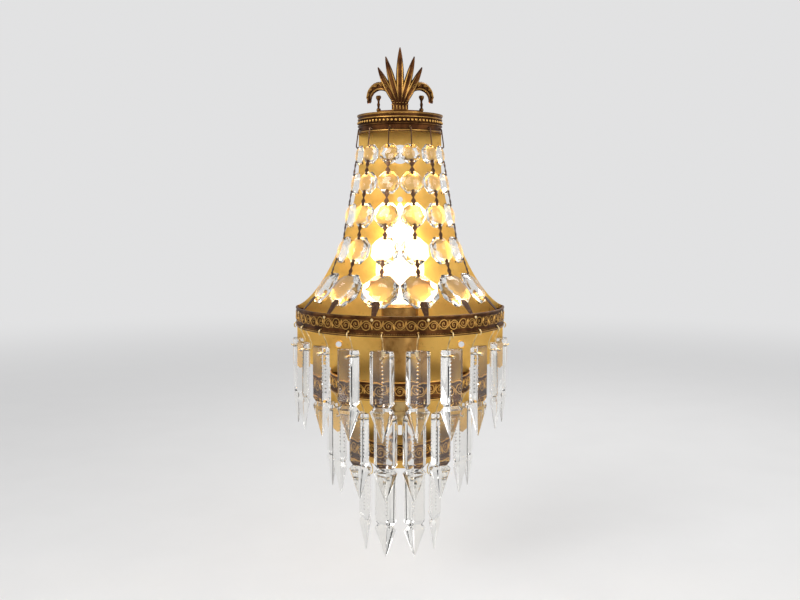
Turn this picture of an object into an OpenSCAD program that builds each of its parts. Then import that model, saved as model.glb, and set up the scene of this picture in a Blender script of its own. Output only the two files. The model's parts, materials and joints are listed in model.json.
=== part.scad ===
/* [Backplate] */
// Thickness of the sheet brass backplate
plate_t = 0.8; // [0.6:0.1:1.2]
// Height of the plate's top edge above the hanging hole
plate_top = 26; // [16:1:27]
// How far the plate stands out past each half round band, at either side
plate_margin = 0.5; // [0.4:0.1:3]
// Height at which the straight neck starts to flare
flare_top = -10; // [-30:1:0]
// Exponent of the flare, 1 is a straight line and 2 an ellipse
flare_power = 1.5; // [1.2:0.05:2]
// Length of straight edge under the main ring
skirt_drop = 19.6; // [10:0.5:25]
// Length of straight edge under the middle ring
waist_drop = 14.6; // [8:0.5:20]
// How far the plate's shoulder ends above the next ring
shoulder_gap = 1.5; // [0.5:0.5:4]
// Length of the round tongue under the lower ring
tongue_h = 12; // [8:1:20]
// Diameter of the hanging hole at the origin
hanging_hole_d = 14; // [8:0.5:16]
// Diameter of the centre screw hole
centre_hole_d = 4.2; // [3:0.1:6]
// Depth of the centre screw hole below the hanging hole
centre_hole_drop = 33.2; // [20:0.1:45]
// Diameter of the two side screw holes
side_hole_d = 4.4; // [3:0.1:6]
// Distance between the two side screw holes
side_hole_span = 92.8; // [60:0.2:110]
// Depth of the side screw holes below the hanging hole
side_hole_drop = 142; // [136:0.5:146]
// Diameter of the cable inlet
inlet_d = 8; // [7:0.5:9]

/* [Bands] */
// Thickness of the stamped sheet in the bands
band_t = 0.8; // [0.6:0.1:1]
// Height of the three ring bands
band_h = 14.2; // [13:0.1:16]
// Radius of the main ring, to the middle of its wall
main_r = 77; // [70:0.5:84]
// Height of the main ring's lower edge
main_z = -126.4; // [-130:0.2:-124]
// Radius of the middle ring
middle_r = 52; // [48:0.5:56]
// Height of the middle ring's lower edge
middle_z = -175.4; // [-180:0.2:-172]
// Radius of the lower ring
lower_r = 28; // [26:0.5:32]
// Height of the lower ring's lower edge
lower_z = -225; // [-230:0.5:-222]
// Height of the pendant holes above a ring's lower edge
ring_hole_rise = 3; // [2.6:0.1:3.6]
// Diameter of the pendant holes
ring_hole_d = 1.8; // [1.6:0.1:2.2]
// How far the end hook's holes lie below the main ring's upper edge
hook_hole_drop = 2.6; // [2.2:0.1:3.4]
// Relief of the rolled edges over the stamped field
edge_relief = 0.5; // [0.3:0.1:0.6]
// Length of the foot that is bent in at each end of a band
foot_l = 4; // [2:0.5:6]

/* [Crown] */
// Radius of the crown band, to the middle of its wall
crown_r = 30; // [28:0.5:34]
// Height of the crown band's lower edge
crown_z = 14.3; // [10:0.1:16]
// Height of the crown band
crown_h = 13.6; // [13:0.1:16]
// Height of the pin holes above the crown band's lower edge
pin_hole_rise = 3.2; // [2.8:0.1:3.6]
// Diameter of the beads in the crown's bead row
pearl_d = 2.2; // [1.6:0.1:2.4]
// Number of beads in the bead row
pearl_count = 33; // [15:2:37]
// Thickness of the pierced palmette
crest_t = 1; // [0.8:0.1:1.6]
// Height of the middle leaf's tip above the band
crest_h = 44; // [36:1:52]
// Half width of the palmette at its outer scrolls
crest_half_w = 24; // [20:0.5:26]
// Width of the collar that the leaves grow from
collar_w = 11.4; // [8:0.2:14]
// Height of the collar
collar_h = 7.6; // [5:0.2:10]
// Width of the scroll's leg and of its bud
scroll_w = 2.2; // [1.6:0.1:3]

/* [Strands] */
// Angle between two strands
strand_step = 28; // [27:0.5:30]
// Width of the beads in each row, flat to flat, from the top
bead_w = [14, 16, 18, 20, 26]; // [10:0.5:26]
// Thickness of the beads in each row
bead_t = [5, 5.6, 6.2, 7, 8]; // [4:0.2:9]
// Distance of each row's beads from the ring centre
bead_r = [31, 34, 38, 43.5, 57]; // [30:0.5:60]
// Height of each row's bead centres
bead_z = [-1.5, -22, -45, -70, -97.5]; // [-100:0.5:0]
// Distance of a bead's holes from its flat edges
bead_hole_inset = 1.8; // [1.6:0.1:2.4]
// Diameter of a bead's holes
bead_hole_d = 1.7; // [1.6:0.1:2.2]
// Thickness of the sheet metal clips
clip_t = 0.4; // [0.3:0.1:0.8]
// Width of the clips at their bows
clip_w = 3.8; // [2.6:0.1:4.4]
// Diameter of the wire pins
pin_d = 0.9; // [0.7:0.1:1]
// Width of the end hooks at the bead
end_hook_w = 6; // [4:0.2:7]
// Width of the end hooks at the ring
end_hook_tip_w = 2; // [1.4:0.2:3]

/* [Pendants] */
// Length of a spear prism
prism_l = 63; // [56:0.5:66]
// Width of the prism's bar
prism_w = 16.5; // [14:0.1:17]
// Width of the prism's spear head
prism_head_w = 17; // [14:0.1:17.4]
// Depth of the prism in front of its hinge plane
prism_front = 3.2; // [2.6:0.1:3.6]
// Depth of the prism's ridge behind its hinge plane
prism_back = 4.6; // [3.8:0.1:5]
// Length of the bar above the neck
prism_bar_l = 36; // [30:0.5:38]
// Width of the neck
prism_neck_w = 11.7; // [9:0.1:13]
// Height of the bevel round the prism's top
prism_bevel_h = 1.2; // [0.8:0.1:2]
// Height from the bar's end to the neck
prism_neck_h = 2.7; // [2:0.1:4]
// Height from the neck to the widest part of the spear head
prism_flare_h = 3.1; // [2.4:0.1:4]
// Distance of the prism's hole from its top
prism_hole_drop = 5; // [4:0.2:6]
// Diameter of the prism's hole
prism_hole_d = 2.3; // [2:0.1:2.6]
// Diameter of the hook wire
hook_d = 0.9; // [0.7:0.1:1]
// Radius of the hook's eye, to the middle of its wire
eye_r = 2.2; // [2.1:0.05:2.5]
// Distance of the prism's top below its hinge line
hang_drop = 10; // [8:0.5:12]
// Number of prisms on the main ring
main_count = 10; // [10]
// Number of prisms on the middle ring
middle_count = 8; // [8]
// Number of prisms on the lower ring
lower_count = 4; // [4]

/* [Lamp] */
// Distance of the lamp's axis from the plate
lamp_out = 23; // [21:0.5:25]
// Height of the candle sleeve's top edge
sleeve_top = -110; // [-114:0.5:-106]
// Height of the candle sleeve's foot
sleeve_foot = -176; // [-177:0.5:-172]
// Outer diameter of the candle sleeve
sleeve_d = 27; // [26:0.5:30]
// Wall of the candle sleeve
sleeve_t = 0.8; // [0.5:0.1:1.2]
// Largest diameter of the candle bulb
bulb_d = 35; // [32:0.5:36]
// Height of the bulb's tip
bulb_tip = -35; // [-42:0.5:-32]
// Diameter of the bulb's screw cap
cap_d = 13.8; // [13.4:0.1:13.8]
// Diameter of the holder's screw well
well_d = 14.6; // [14.6:0.1:15.4]
// Depth of the holder's screw well
well_h = 25; // [23:0.5:27]
// Outer diameter of the threaded nipple
nipple_d = 10; // [9:0.5:12]
// Bore of the nipple
nipple_bore = 7.4; // [6:0.2:8]
// Thickness of the bracket's strap
strap_t = 1.5; // [1:0.1:2]
// Width of the bracket's strap
strap_w = 16; // [14:0.5:20]
// Diameter of the bracket's two screws
screw_d = 3; // [2.5:0.5:4]
// Diameter of one lead over its insulation
lead_d = 2; // [1.6:0.1:2.2]
// Distance of the leads' bare ends from the inlet, left free for the supply cable
lead_end_gap = 2; // [1.5:0.5:6]

/* [Hidden] */

// Colours of the finishes
BRIGHT_BRASS = [0.83, 0.62, 0.27];
AGED_BRASS = [0.45, 0.30, 0.12];
DARK_BRASS = [0.24, 0.16, 0.08];
CLEAR_GLASS = [0.90, 0.94, 0.95, 0.45];
WARM_GLASS = [1.0, 0.90, 0.68, 0.6];

// The bands' common centre line lies in the plate's front face
ring_y = -plate_t;
main_top = main_z + band_h;
middle_top = middle_z + band_h;
lower_top = lower_z + band_h;
crown_top = crown_z + crown_h;
// Half widths of the plate's four parts
neck_w2 = crown_r + plate_margin;
skirt_w2 = main_r + plate_margin;
waist_w2 = middle_r + plate_margin;
tail_w2 = lower_r + plate_margin;
skirt_z = main_z - skirt_drop;
waist_z = middle_z - waist_drop;
tail_z = lower_z - 1;
fine = 64;
// The leaves' arcs are long and flat, so they take more steps
leaf_fine = 1440;

// Angles of the six strands, counted from straight ahead
strand_angles = [for (i = [0:5]) (i - 2.5) * strand_step];
rows = len(bead_w);
pin_hole = [crown_r, crown_z + pin_hole_rise];
hook_hole = [main_r, main_top - hook_hole_drop];
clip_gap = 0.3;
clip_reach = 0.9;
bore_clear = 0.35;

// Lamp parts, worked out from the sleeve downwards
lamp_y = ring_y - lamp_out;
holder_flange_h = 2;
holder_base = sleeve_foot - holder_flange_h;
holder_top = sleeve_top - 2;
coupler_h = 9;
arm_top = holder_base - coupler_h;
lock_nut_h = 3;
nut_af = 13;
nipple_top = holder_base + 6;
nipple_foot = arm_top - strap_t - lock_nut_h - 2.5;
thread_clear = 0.06;
cap_foot = holder_top - well_h + 1.5;
lead_bend_r = 12;
// The two leads lie against the nipple's bore
lead_x = nipple_bore / 2 - lead_d / 2 - clip_gap;
inlet_z = nipple_foot - 2 - lead_bend_r;
bracket_foot = arm_top - 14;
bracket_screw_z = bracket_foot + 5;
bracket_screw_x = strap_w / 2 - 3.6;

// Points of an arc in a plane
function arc_path(centre, rx, ry, from, to, steps) = [
    for (i = [0:steps])
        let (a = from + (to - from) * i / steps)
            [centre.x + rx * cos(a), centre.y + ry * sin(a)]
];

// Half width of the flared skirt at a share of its height, 0 at the neck and 1 at the ring
function flare(share) =
    skirt_w2 - (skirt_w2 - neck_w2) * pow(1 - pow(share, flare_power), 1 / flare_power);

function mirrored(points) = [for (i = [len(points) - 1:-1:0]) [-points[i].x, points[i].y]];

// Right edge of the backplate from its top to the foot of its tongue
plate_edge = concat(
    [[neck_w2, plate_top]],
    [for (i = [0:20])
        let (share = sin(90 * i / 20))
            [flare(share), flare_top + (main_top - flare_top) * share]],
    arc_path([waist_w2, skirt_z], skirt_w2 - waist_w2, skirt_z - middle_top - shoulder_gap, 0, -90, 8),
    arc_path([tail_w2, waist_z], waist_w2 - tail_w2, waist_z - lower_top - shoulder_gap, 0, -90, 8),
    arc_path([0, tail_z], tail_w2, tongue_h, 0, -81, 9)
);

// Stands its children on a ring: they face the room along -Y, with +X along the band
module on_ring(angle, radius, z) {
    translate([radius * sin(angle), ring_y - radius * cos(angle), z])
        rotate([0, 0, angle])
            children();
}

// A hole through a wall that faces -Y
module wall_bore(d, length) {
    rotate([90, 0, 0])
        cylinder(h = length, d = d, center = true, $fn = fine);
}

module backplate() {
    color(BRIGHT_BRASS)
        difference() {
            rotate([90, 0, 0])
                linear_extrude(plate_t)
                    polygon(concat(plate_edge, mirrored(plate_edge)));
            wall_bore(hanging_hole_d, 4 * plate_t);
            translate([0, 0, -centre_hole_drop])
                wall_bore(centre_hole_d, 4 * plate_t);
            for (side = [-1, 1]) {
                translate([side * side_hole_span / 2, 0, -side_hole_drop])
                    wall_bore(side_hole_d, 4 * plate_t);
                translate([side * bracket_screw_x, 0, bracket_screw_z])
                    wall_bore(screw_d + 2 * thread_clear, 4 * plate_t);
            }
            translate([0, 0, inlet_z])
                wall_bore(inlet_d, 4 * plate_t);
        }
}

// Section of a ring band: rolled lower edge, dotted border, stamped field and upper bead
function band_section(r) = let (i = r - band_t / 2, o = r + band_t / 2) [
    [i, 0], [o, 0], [o + edge_relief, 0.5], [o + edge_relief, 1.1], [o, 1.6],
    [o, 4.6], [o + 0.3, 4.9], [o + 0.3, 5.2], [o, 5.5],
    [o, band_h - 3.4], [o + 0.3, band_h - 3.1], [o + 0.3, band_h - 2.8], [o, band_h - 2.5],
    [o, band_h - 1.2], [o + edge_relief, band_h - 0.9], [o + edge_relief, band_h - 0.3],
    [o, band_h], [i, band_h]
];

// A half round band on the plate, open at the back, with its two feet bent in
module half_band(section, r, z, h) {
    translate([0, ring_y, z]) {
        rotate([0, 0, 180])
            rotate_extrude(angle = 180, $fn = 180)
                polygon(section);
        for (side = [-1, 1])
            translate([side * (r - band_t / 2) - (side > 0 ? foot_l : 0), -band_t, 2])
                cube([foot_l, band_t, h - 4]);
    }
}

// Angles of count pendants spread evenly over the half round
function pendant_angles(count) = [for (i = [0:count - 1]) (i + 0.5) * 180 / count - 90];

module ring_band(r, z, count) {
    difference() {
        half_band(band_section(r), r, z, band_h);
        for (a = pendant_angles(count))
            on_ring(a, r, z + ring_hole_rise)
                wall_bore(ring_hole_d, 6 * band_t);
        children();
    }
}

module main_ring() {
    color(AGED_BRASS)
        ring_band(main_r, main_z, main_count)
            for (a = strand_angles)
                on_ring(a, hook_hole.x, hook_hole.y)
                    wall_bore(bead_hole_d, 6 * band_t);
}

module middle_ring() {
    color(AGED_BRASS)
        ring_band(middle_r, middle_z, middle_count);
}

module lower_ring() {
    color(AGED_BRASS)
        ring_band(lower_r, lower_z, lower_count);
}

// Section of the crown band: bright lower rim, two mouldings round the bead row, hollow top
function crown_section(r) = let (i = r - band_t / 2, o = r + band_t / 2) [
    [i, 0], [o + 0.7, 0], [o + 1, 0.4], [o + 0.9, 1.1], [o, 1.7],
    [o, 4.8], [o + 0.7, 5.2], [o + 0.8, 5.7], [o + 0.3, 6.3],
    [o, 6.6], [o, 9.2], [o + 0.3, 9.5], [o + 0.9, 10], [o + 0.8, 10.6],
    [o + 0.3, 11.2], [o + 0.5, 12], [o + 1.2, crown_h - 0.8], [o + 1.2, crown_h], [i, crown_h]
];

module crown_band() {
    pearl_z = crown_z + 7.9;
    color(AGED_BRASS)
        difference() {
            union() {
                half_band(crown_section(crown_r), crown_r, crown_z, crown_h);
                for (a = pendant_angles(pearl_count))
                    on_ring(a, crown_r + band_t / 2 + 0.2, pearl_z)
                        sphere(d = pearl_d, $fn = 20);
            }
            for (a = strand_angles)
                on_ring(a, pin_hole.x, pin_hole.y)
                    wall_bore(bead_hole_d, 6 * band_t);
        }
}

// A pointed leaf: the lens between two arcs, its foot at the origin and its tip up
module leaf(length, width) {
    r = (length * length / 4 + width * width / 4) / width;
    intersection() {
        translate([r - width / 2, length / 2])
            circle(r = r, $fn = leaf_fine);
        translate([width / 2 - r, length / 2])
            circle(r = r, $fn = leaf_fine);
    }
}

// Leaves of one half, as [foot x, foot height, tip x, tip height, width]
leaf_plan = [
    [1.4, collar_h - 1.5, 10, crest_h - 6, 4.6],
    [2.4, collar_h - 2, 15.4, crest_h - 13, 4.3],
    [3.4, collar_h - 2.6, 17.4, crest_h - 22.4, 4]
];
// Outer and inner edge of the arched scroll, as circles
arch_r = 9;
arch = [crest_half_w - arch_r - 0.8, 10.6];
arch_bore_r = arch_r - 3.4;
arch_bore = arch - [0.5, 1.7];
arch_tip_h = 6.4;
rim_w = 0.8;
bud_foot = [arch.x + 0.9, 1.3];
rail_h = 1.1;
dot_d = 1.5;
dot_count = 5;

// The palmette as seen from the front, its foot on the band
module palmette(width_share, from_share, to_share) {
    h = crest_h - collar_h + 2;
    translate([0, collar_h - 2 + h * from_share])
        leaf(h * (to_share - from_share), 5.2 * width_share);
    for (side = [0, 1])
        mirror([side, 0, 0])
            for (p = leaf_plan)
                let (v = [p[2] - p[0], p[3] - p[1]])
                    translate([p[0], p[1]] + v * from_share)
                        rotate(-atan2(v.x, v.y))
                            leaf(norm(v) * (to_share - from_share), p[4] * width_share);
}

// The arch of a scroll, drawn in by inset, its outer end hanging free
module arch_band(inset) {
    difference() {
        translate(arch)
            circle(r = arch_r - inset, $fn = fine);
        translate(arch_bore)
            circle(r = arch_bore_r + inset, $fn = fine);
        translate([0, -1])
            square([crest_half_w + 1, arch_tip_h + inset + 1]);
    }
}

// One outer scroll: the arch, its leg beside the collar, and the bud under it on a low rail
module scroll() {
    arch_band(0);
    translate([collar_w / 2 - 0.5, 0])
        square([scroll_w + 0.5, arch.y]);
    translate([collar_w / 2 - 0.5, 0])
        square([bud_foot.x - collar_w / 2 + 0.5, rail_h]);
    translate(bud_foot)
        circle(r = 1.7, $fn = 32);
    translate([bud_foot.x, bud_foot.y - 1])
        leaf(arch_bore.y, scroll_w);
    translate([bud_foot.x, arch_bore.y - 0.6])
        circle(r = scroll_w, $fn = 32);
}

module crest_front() {
    palmette(1, 0, 1);
    translate([-collar_w / 2, 0])
        square([collar_w, collar_h]);
    for (side = [0, 1])
        mirror([side, 0, 0])
            scroll();
}

// Raised rims round the hollow leaves and along the arches
module crest_rims() {
    difference() {
        palmette(0.9, 0.03, 0.96);
        palmette(0.44, 0.1, 0.84);
    }
    for (side = [0, 1])
        mirror([side, 0, 0])
            difference() {
                arch_band(0.2);
                translate(arch)
                    circle(r = arch_r - rim_w, $fn = fine);
            }
}

// Wraps a flat outline round the crown: a slice of tube cut by the outline
module wrapped(outline_h, from_r, to_r) {
    intersection() {
        translate([0, ring_y, crown_top])
            difference() {
                cylinder(h = outline_h, r = to_r, $fn = 360);
                translate([0, 0, -1])
                    cylinder(h = outline_h + 2, r = from_r, $fn = 360);
            }
        translate([0, ring_y, crown_top])
            rotate([90, 0, 0])
                linear_extrude(crown_r + 10)
                    children();
    }
}

module palmette_crest() {
    inner = crown_r - band_t / 2;
    dot_pitch = collar_w / dot_count;
    color(AGED_BRASS)
        union() {
            wrapped(crest_h + 1, inner, inner + crest_t)
                crest_front();
            wrapped(crest_h + 1, inner + crest_t / 2, inner + crest_t + 0.5)
                crest_rims();
            for (i = [0:dot_count - 1])
                on_ring(asin((i - (dot_count - 1) / 2) * dot_pitch / crown_r), inner + crest_t - 0.15, crown_top + dot_d)
                    sphere(d = dot_d, $fn = 16);
        }
}

table_share = 0.46;
crown_cut = [0.8, 0.62];
girdle_share = 0.14;
// Half thickness of a bead along its upright middle line, by the share of its half width
bead_slope = [
    [table_share, 1], [crown_cut[0] / cos(22.5), crown_cut[1]], [1, girdle_share]
];

// One eight sided bead, cut on both faces, its face along -Y and a flat side up
module octagon(w, t) {
    r = w / 2 / cos(22.5);
    // Rings of eight corners as [share of radius, share of half thickness, turn]
    cuts = [
        [table_share, -1, 0], [crown_cut[0], -crown_cut[1], 22.5], [1, -girdle_share, 0],
        [1, girdle_share, 0], [crown_cut[0], crown_cut[1], 22.5], [table_share, 1, 0]
    ];
    points = [
        for (c = cuts)
            for (k = [0:7])
                let (a = 22.5 + c[2] + 45 * k)
                    [c[0] * r * cos(a), c[1] * t / 2, c[0] * r * sin(a)]
    ];
    sides = [
        for (i = [0:4])
            for (k = [0:7])
                let (n = (k + 1) % 8, a = 8 * i + k, b = 8 * i + n, c = a + 8, e = b + 8)
                    each (i == 1 || i == 4 ? [[a, e, c], [a, b, e]] : [[a, b, c], [b, e, c]])
    ];
    polyhedron(points, concat([[7, 6, 5, 4, 3, 2, 1, 0]], sides, [[40, 41, 42, 43, 44, 45, 46, 47]]));
}

// Strand stations in a radial plane, as [distance, height]: the pin hole, the beads, the hook hole
stations = concat([pin_hole], [for (k = [0:rows - 1]) [bead_r[k], bead_z[k]]], [hook_hole]);
// Lean of each bead from the vertical, along the line through its neighbours
leans = [for (k = [1:rows]) let (v = stations[k + 1] - stations[k - 1]) atan2(v.x, -v.y)];

// Distance of bead k's holes from its middle
function hole_reach(k) = bead_w[k] / 2 - bead_hole_inset;

// The hole of bead k at its upper (1) or lower (-1) end
function bead_hole(k, end) =
    [bead_r[k], bead_z[k]] + end * hole_reach(k) * [-sin(leans[k]), cos(leans[k])];

module octagons() {
    color(CLEAR_GLASS)
        for (a = strand_angles)
            for (k = [0:rows - 1])
                on_ring(a, bead_r[k], bead_z[k])
                    rotate([-leans[k], 0, 0])
                        difference() {
                            octagon(bead_w[k], bead_t[k]);
                            for (end = [-1, 1])
                                translate([0, 0, end * hole_reach(k)])
                                    wall_bore(bead_hole_d, 2 * bead_t[k]);
                        }
}

// Puts its children at the middle of the line from one station to another, that line along +Z
module along(from, to) {
    mid = (from + to) / 2;
    translate([0, -mid.x, mid.y])
        rotate([-atan2(to.x - from.x, from.y - to.y), 0, 0])
            children();
}

// Two bows joined at a waist, as one flat clip
module bow_tie(length) {
    bow = clip_w / 2;
    reach = length / 2 + clip_reach;
    half = [
        [bow * 0.25, 0], [bow, length / 4], [bow * 0.45, length / 2 - 0.6],
        [bow * 0.9, length / 2], [bow * 0.25, reach]
    ];
    below = [for (i = [len(half) - 1:-1:1]) [half[i].x, -half[i].y]];
    edge = concat(below, half);
    polygon(concat(edge, mirrored(edge)));
}

// Height of bead k's front face over its middle plane, where a clip lies on it
function bead_face(k) =
    bead_t[k] / 2 * lookup(2 * (hole_reach(k) - clip_reach) / bead_w[k], bead_slope) + clip_gap;

// Where the pin in a bead's hole meets its clip
function bead_front(k, end) =
    bead_hole(k, end) + (bead_face(k) + clip_t / 2) * [cos(leans[k]), sin(leans[k])];

// A pin through a bead's hole, with a round head behind the bead
module bead_pin(k, end) {
    hole = bead_hole(k, end);
    face = bead_face(k);
    translate([0, -hole.x, hole.y])
        rotate([-leans[k], 0, 0]) {
            wall_bore(pin_d, 2 * face + clip_t);
            translate([0, face, 0])
                wall_bore(2 * pin_d, clip_t);
        }
}

// A clip in front of two beads, its two pins run back through their holes
module link(k) {
    from = bead_front(k, -1);
    to = bead_front(k + 1, 1);
    along(from, to)
        translate([0, clip_t / 2, 0])
            rotate([90, 0, 0])
                linear_extrude(clip_t)
                    bow_tie(norm(to - from));
    bead_pin(k, -1);
    bead_pin(k + 1, 1);
}

// The tapered strip from the lowest bead to the main ring, clinched outside the band
module end_hook() {
    inner = hook_hole - [band_t / 2 + clip_gap + clip_t, 0];
    start = bead_front(rows - 1, -1);
    length = norm(inner - start);
    along(start, inner)
        translate([0, clip_t / 2, 0])
            rotate([90, 0, 0])
                linear_extrude(clip_t)
                    polygon([
                        [-end_hook_tip_w / 2, -length / 2 - 0.3], [end_hook_tip_w / 2, -length / 2 - 0.3],
                        [end_hook_w / 2, length / 2 - 1], [end_hook_w / 3, length / 2 + clip_reach],
                        [-end_hook_w / 3, length / 2 + clip_reach], [-end_hook_w / 2, length / 2 - 1]
                    ]);
    bead_pin(rows - 1, -1);
    outer = hook_hole.x + band_t / 2 + edge_relief;
    translate([0, -(inner.x + outer) / 2, inner.y])
        wall_bore(pin_d, outer - inner.x + 2 * clip_gap);
    translate([0, -outer - clip_gap, inner.y])
        wall_bore(2 * pin_d, clip_t);
}

// Direction of a path at point i
function heading(path, i) =
    let (v = path[min(i + 1, len(path) - 1)] - path[max(i - 1, 0)]) v / norm(v);

// A round wire swept along a path in the plane X = 0, its points as [y, z]
module wire(path, d) {
    sides = 6;
    last = len(path) - 1;
    points = [
        for (i = [0:last])
            let (t = heading(path, i))
                for (k = [0:sides - 1])
                    let (a = 360 * k / sides, u = d / 2 * cos(a))
                        [d / 2 * sin(a), path[i].x - t.y * u, path[i].y + t.x * u]
    ];
    walls = [
        for (i = [0:last - 1])
            for (k = [0:sides - 1])
                let (n = (k + 1) % sides, a = sides * i + k, b = sides * i + n)
                    each [[a, a + sides, b], [b, a + sides, b + sides]]
    ];
    first_cap = [[for (k = [0:sides - 1]) k]];
    last_cap = [[for (k = [sides - 1:-1:0]) sides * last + k]];
    polyhedron(points, concat(first_cap, walls, last_cap));
}

// The pin from the crown band down to the first bead, bent through both holes
module crown_pin() {
    to = bead_hole(0, 1);
    out = crown_r + band_t / 2 + 1.8;
    inside = crown_r - band_t / 2 - 1.2;
    bend = 1.2;
    bead_out = to.x + bead_t[0] / 2 + 0.8;
    wire([
        [-inside, pin_hole.y],
        each arc_path([-out + bend, pin_hole.y - bend], bend, bend, 90, 180, 4),
        each arc_path([-bead_out + bend, to.y + bend], bend, bend, 180, 270, 4),
        [-to.x + bead_t[0] / 2 + 0.6, to.y]
    ], pin_d);
}

module strand_links() {
    color(DARK_BRASS)
        for (a = strand_angles)
            on_ring(a, 0, 0) {
                crown_pin();
                for (k = [0:rows - 2])
                    link(k);
                end_hook();
            }
}

// Section of a spear prism: flat front, bevelled sides and a ridge at the back
function prism_section(w, depth) = let (f = prism_front * depth, b = prism_back * depth) [
    [-w * 0.34, -f], [w * 0.34, -f], [w / 2, -f * 0.28], [w / 2, b * 0.06],
    [0, b], [-w / 2, b * 0.06], [-w / 2, -f * 0.28]
];

// Stations of the prism from its top, as [depth below the top, width, share of the full section]
prism_plan = [
    [0, prism_w * 0.94, 0.88],
    [prism_bevel_h, prism_w, 1],
    [prism_bar_l, prism_w, 1],
    [prism_bar_l + prism_neck_h, prism_neck_w, 0.74],
    [prism_bar_l + prism_neck_h + prism_flare_h, prism_head_w, 0.98],
    [prism_l, prism_head_w * 0.05, 0.1]
];

// One spear prism, its hinge line at the origin and its front along -Y
module prism() {
    sides = 7;
    last = len(prism_plan) - 1;
    points = [
        for (s = prism_plan)
            for (p = prism_section(s[1], s[2]))
                [p.x, p.y, -hang_drop - s[0]]
    ];
    walls = [
        for (i = [0:last - 1])
            for (k = [0:sides - 1])
                let (n = (k + 1) % sides, a = sides * i + k, b = sides * i + n)
                    each [[a, b, a + sides], [b, b + sides, a + sides]]
    ];
    top_cap = [[for (k = [sides - 1:-1:0]) k]];
    tip_cap = [[for (k = [0:sides - 1]) sides * last + k]];
    color(CLEAR_GLASS)
        difference() {
            polyhedron(points, concat(top_cap, walls, tip_cap));
            translate([0, 0, -hang_drop - prism_hole_drop])
                wall_bore(prism_hole_d, 4 * prism_back);
        }
}

// One wire hook: its eye round the hinge line, its shank behind the prism and its tip in front
module hook() {
    hole = -hang_drop - prism_hole_drop;
    back = prism_back + hook_d / 2 + 0.5;
    front = -prism_front - hook_d / 2 - 0.4;
    bend = 1.3;
    path = [
        each arc_path([0, 0], eye_r, eye_r, -120, -410, 12),
        [back * 0.62, -hang_drop * 0.55],
        [back, -hang_drop - 0.4],
        each arc_path([back - bend, hole + bend], bend, bend, 0, -90, 3),
        each arc_path([front + bend * 0.6, hole + bend], bend, bend, -90, -170, 3)
    ];
    color(BRIGHT_BRASS)
        wire(path, hook_d);
}

// One of count pendants on a ring: piece 0 is its prism, piece 1 its hook
module pendant(number, count, r, z, piece) {
    on_ring(pendant_angles(count)[number - 1], r, z + ring_hole_rise - eye_r)
        if (piece == 0)
            prism();
        else
            hook();
}

module upper_pendant(number, piece) {
    pendant(number, main_count, main_r, main_z, piece);
}

module middle_pendant(number, piece) {
    pendant(number, middle_count, middle_r, middle_z, piece);
}

module lower_pendant(number, piece) {
    pendant(number, lower_count, lower_r, lower_z, piece);
}

// The strap that carries the lamp: its leg lies on the plate and its arm reaches out
module lamp_bracket() {
    arm_reach = lamp_out + nipple_d / 2 + 3;
    inner_bend = 1.5;
    outer_bend = inner_bend + strap_t;
    profile = concat(
        [[0, bracket_foot - arm_top]],
        arc_path([outer_bend, -outer_bend], outer_bend, outer_bend, 180, 90, 6),
        [[arm_reach, 0], [arm_reach, -strap_t]],
        arc_path([outer_bend, -outer_bend], inner_bend, inner_bend, 90, 180, 6),
        [[strap_t, bracket_foot - arm_top]]
    );
    color(AGED_BRASS)
        difference() {
            translate([-strap_w / 2, ring_y, arm_top])
                rotate([90, 0, 90])
                    linear_extrude(strap_w)
                        mirror([1, 0])
                            polygon(profile);
            translate([0, lamp_y, arm_top - 2 * strap_t])
                cylinder(h = 4 * strap_t, d = nipple_d + 0.4, $fn = fine);
            for (side = [-1, 1])
                translate([side * bracket_screw_x, ring_y, bracket_screw_z])
                    wall_bore(screw_d + 0.4, 4 * strap_t);
        }
}

// Two cheese head screws through the strap into the plate, flush with its back
module bracket_screws() {
    head_y = ring_y - strap_t;
    head_h = 1.6;
    color(BRIGHT_BRASS)
        for (side = [-1, 1])
            translate([side * bracket_screw_x, 0, bracket_screw_z])
                difference() {
                    rotate([90, 0, 0])
                        union() {
                            cylinder(h = -head_y, d = screw_d, $fn = fine);
                            translate([0, 0, -head_y])
                                cylinder(h = head_h, d = screw_d * 1.8, $fn = fine);
                        }
                    translate([-screw_d, head_y - head_h - 1, -0.35])
                        cube([2 * screw_d, 1.7, 0.7]);
                }
}

module hex_nut(h) {
    difference() {
        cylinder(h = h, d = nut_af / cos(30), $fn = 6);
        translate([0, 0, -1])
            cylinder(h = h + 2, d = nipple_d + 2 * thread_clear, $fn = fine);
    }
}

// The threaded tube through the strap, its lock nut below and its long coupler above
module nipple_and_nuts() {
    color(DARK_BRASS)
        translate([0, lamp_y, 0]) {
            difference() {
                translate([0, 0, nipple_foot])
                    cylinder(h = nipple_top - nipple_foot, d = nipple_d, $fn = fine);
                translate([0, 0, nipple_foot - 1])
                    cylinder(h = nipple_top - nipple_foot + 2, d = nipple_bore, $fn = fine);
            }
            translate([0, 0, arm_top - strap_t - lock_nut_h])
                hex_nut(lock_nut_h);
            translate([0, 0, arm_top])
                hex_nut(coupler_h);
        }
}

// The insulated holder inside the sleeve, with its screw well and its wiring passage
module lamp_holder() {
    body_d = sleeve_d - 2 * sleeve_t - 2 * bore_clear;
    color([0.85, 0.82, 0.74])
        translate([0, lamp_y, 0])
            difference() {
                union() {
                    translate([0, 0, holder_base])
                        cylinder(h = holder_flange_h, d = sleeve_d, $fn = fine);
                    translate([0, 0, holder_base])
                        cylinder(h = holder_top - holder_base, d = body_d, $fn = fine);
                }
                translate([0, 0, holder_top - well_h])
                    cylinder(h = well_h + 1, d = well_d, $fn = fine);
                translate([0, 0, holder_base - 1])
                    cylinder(h = nipple_top - holder_base + 1.5, d = nipple_d + 2 * thread_clear, $fn = fine);
                translate([0, 0, holder_base])
                    cylinder(h = 24, d = nipple_bore, $fn = fine);
            }
}

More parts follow.
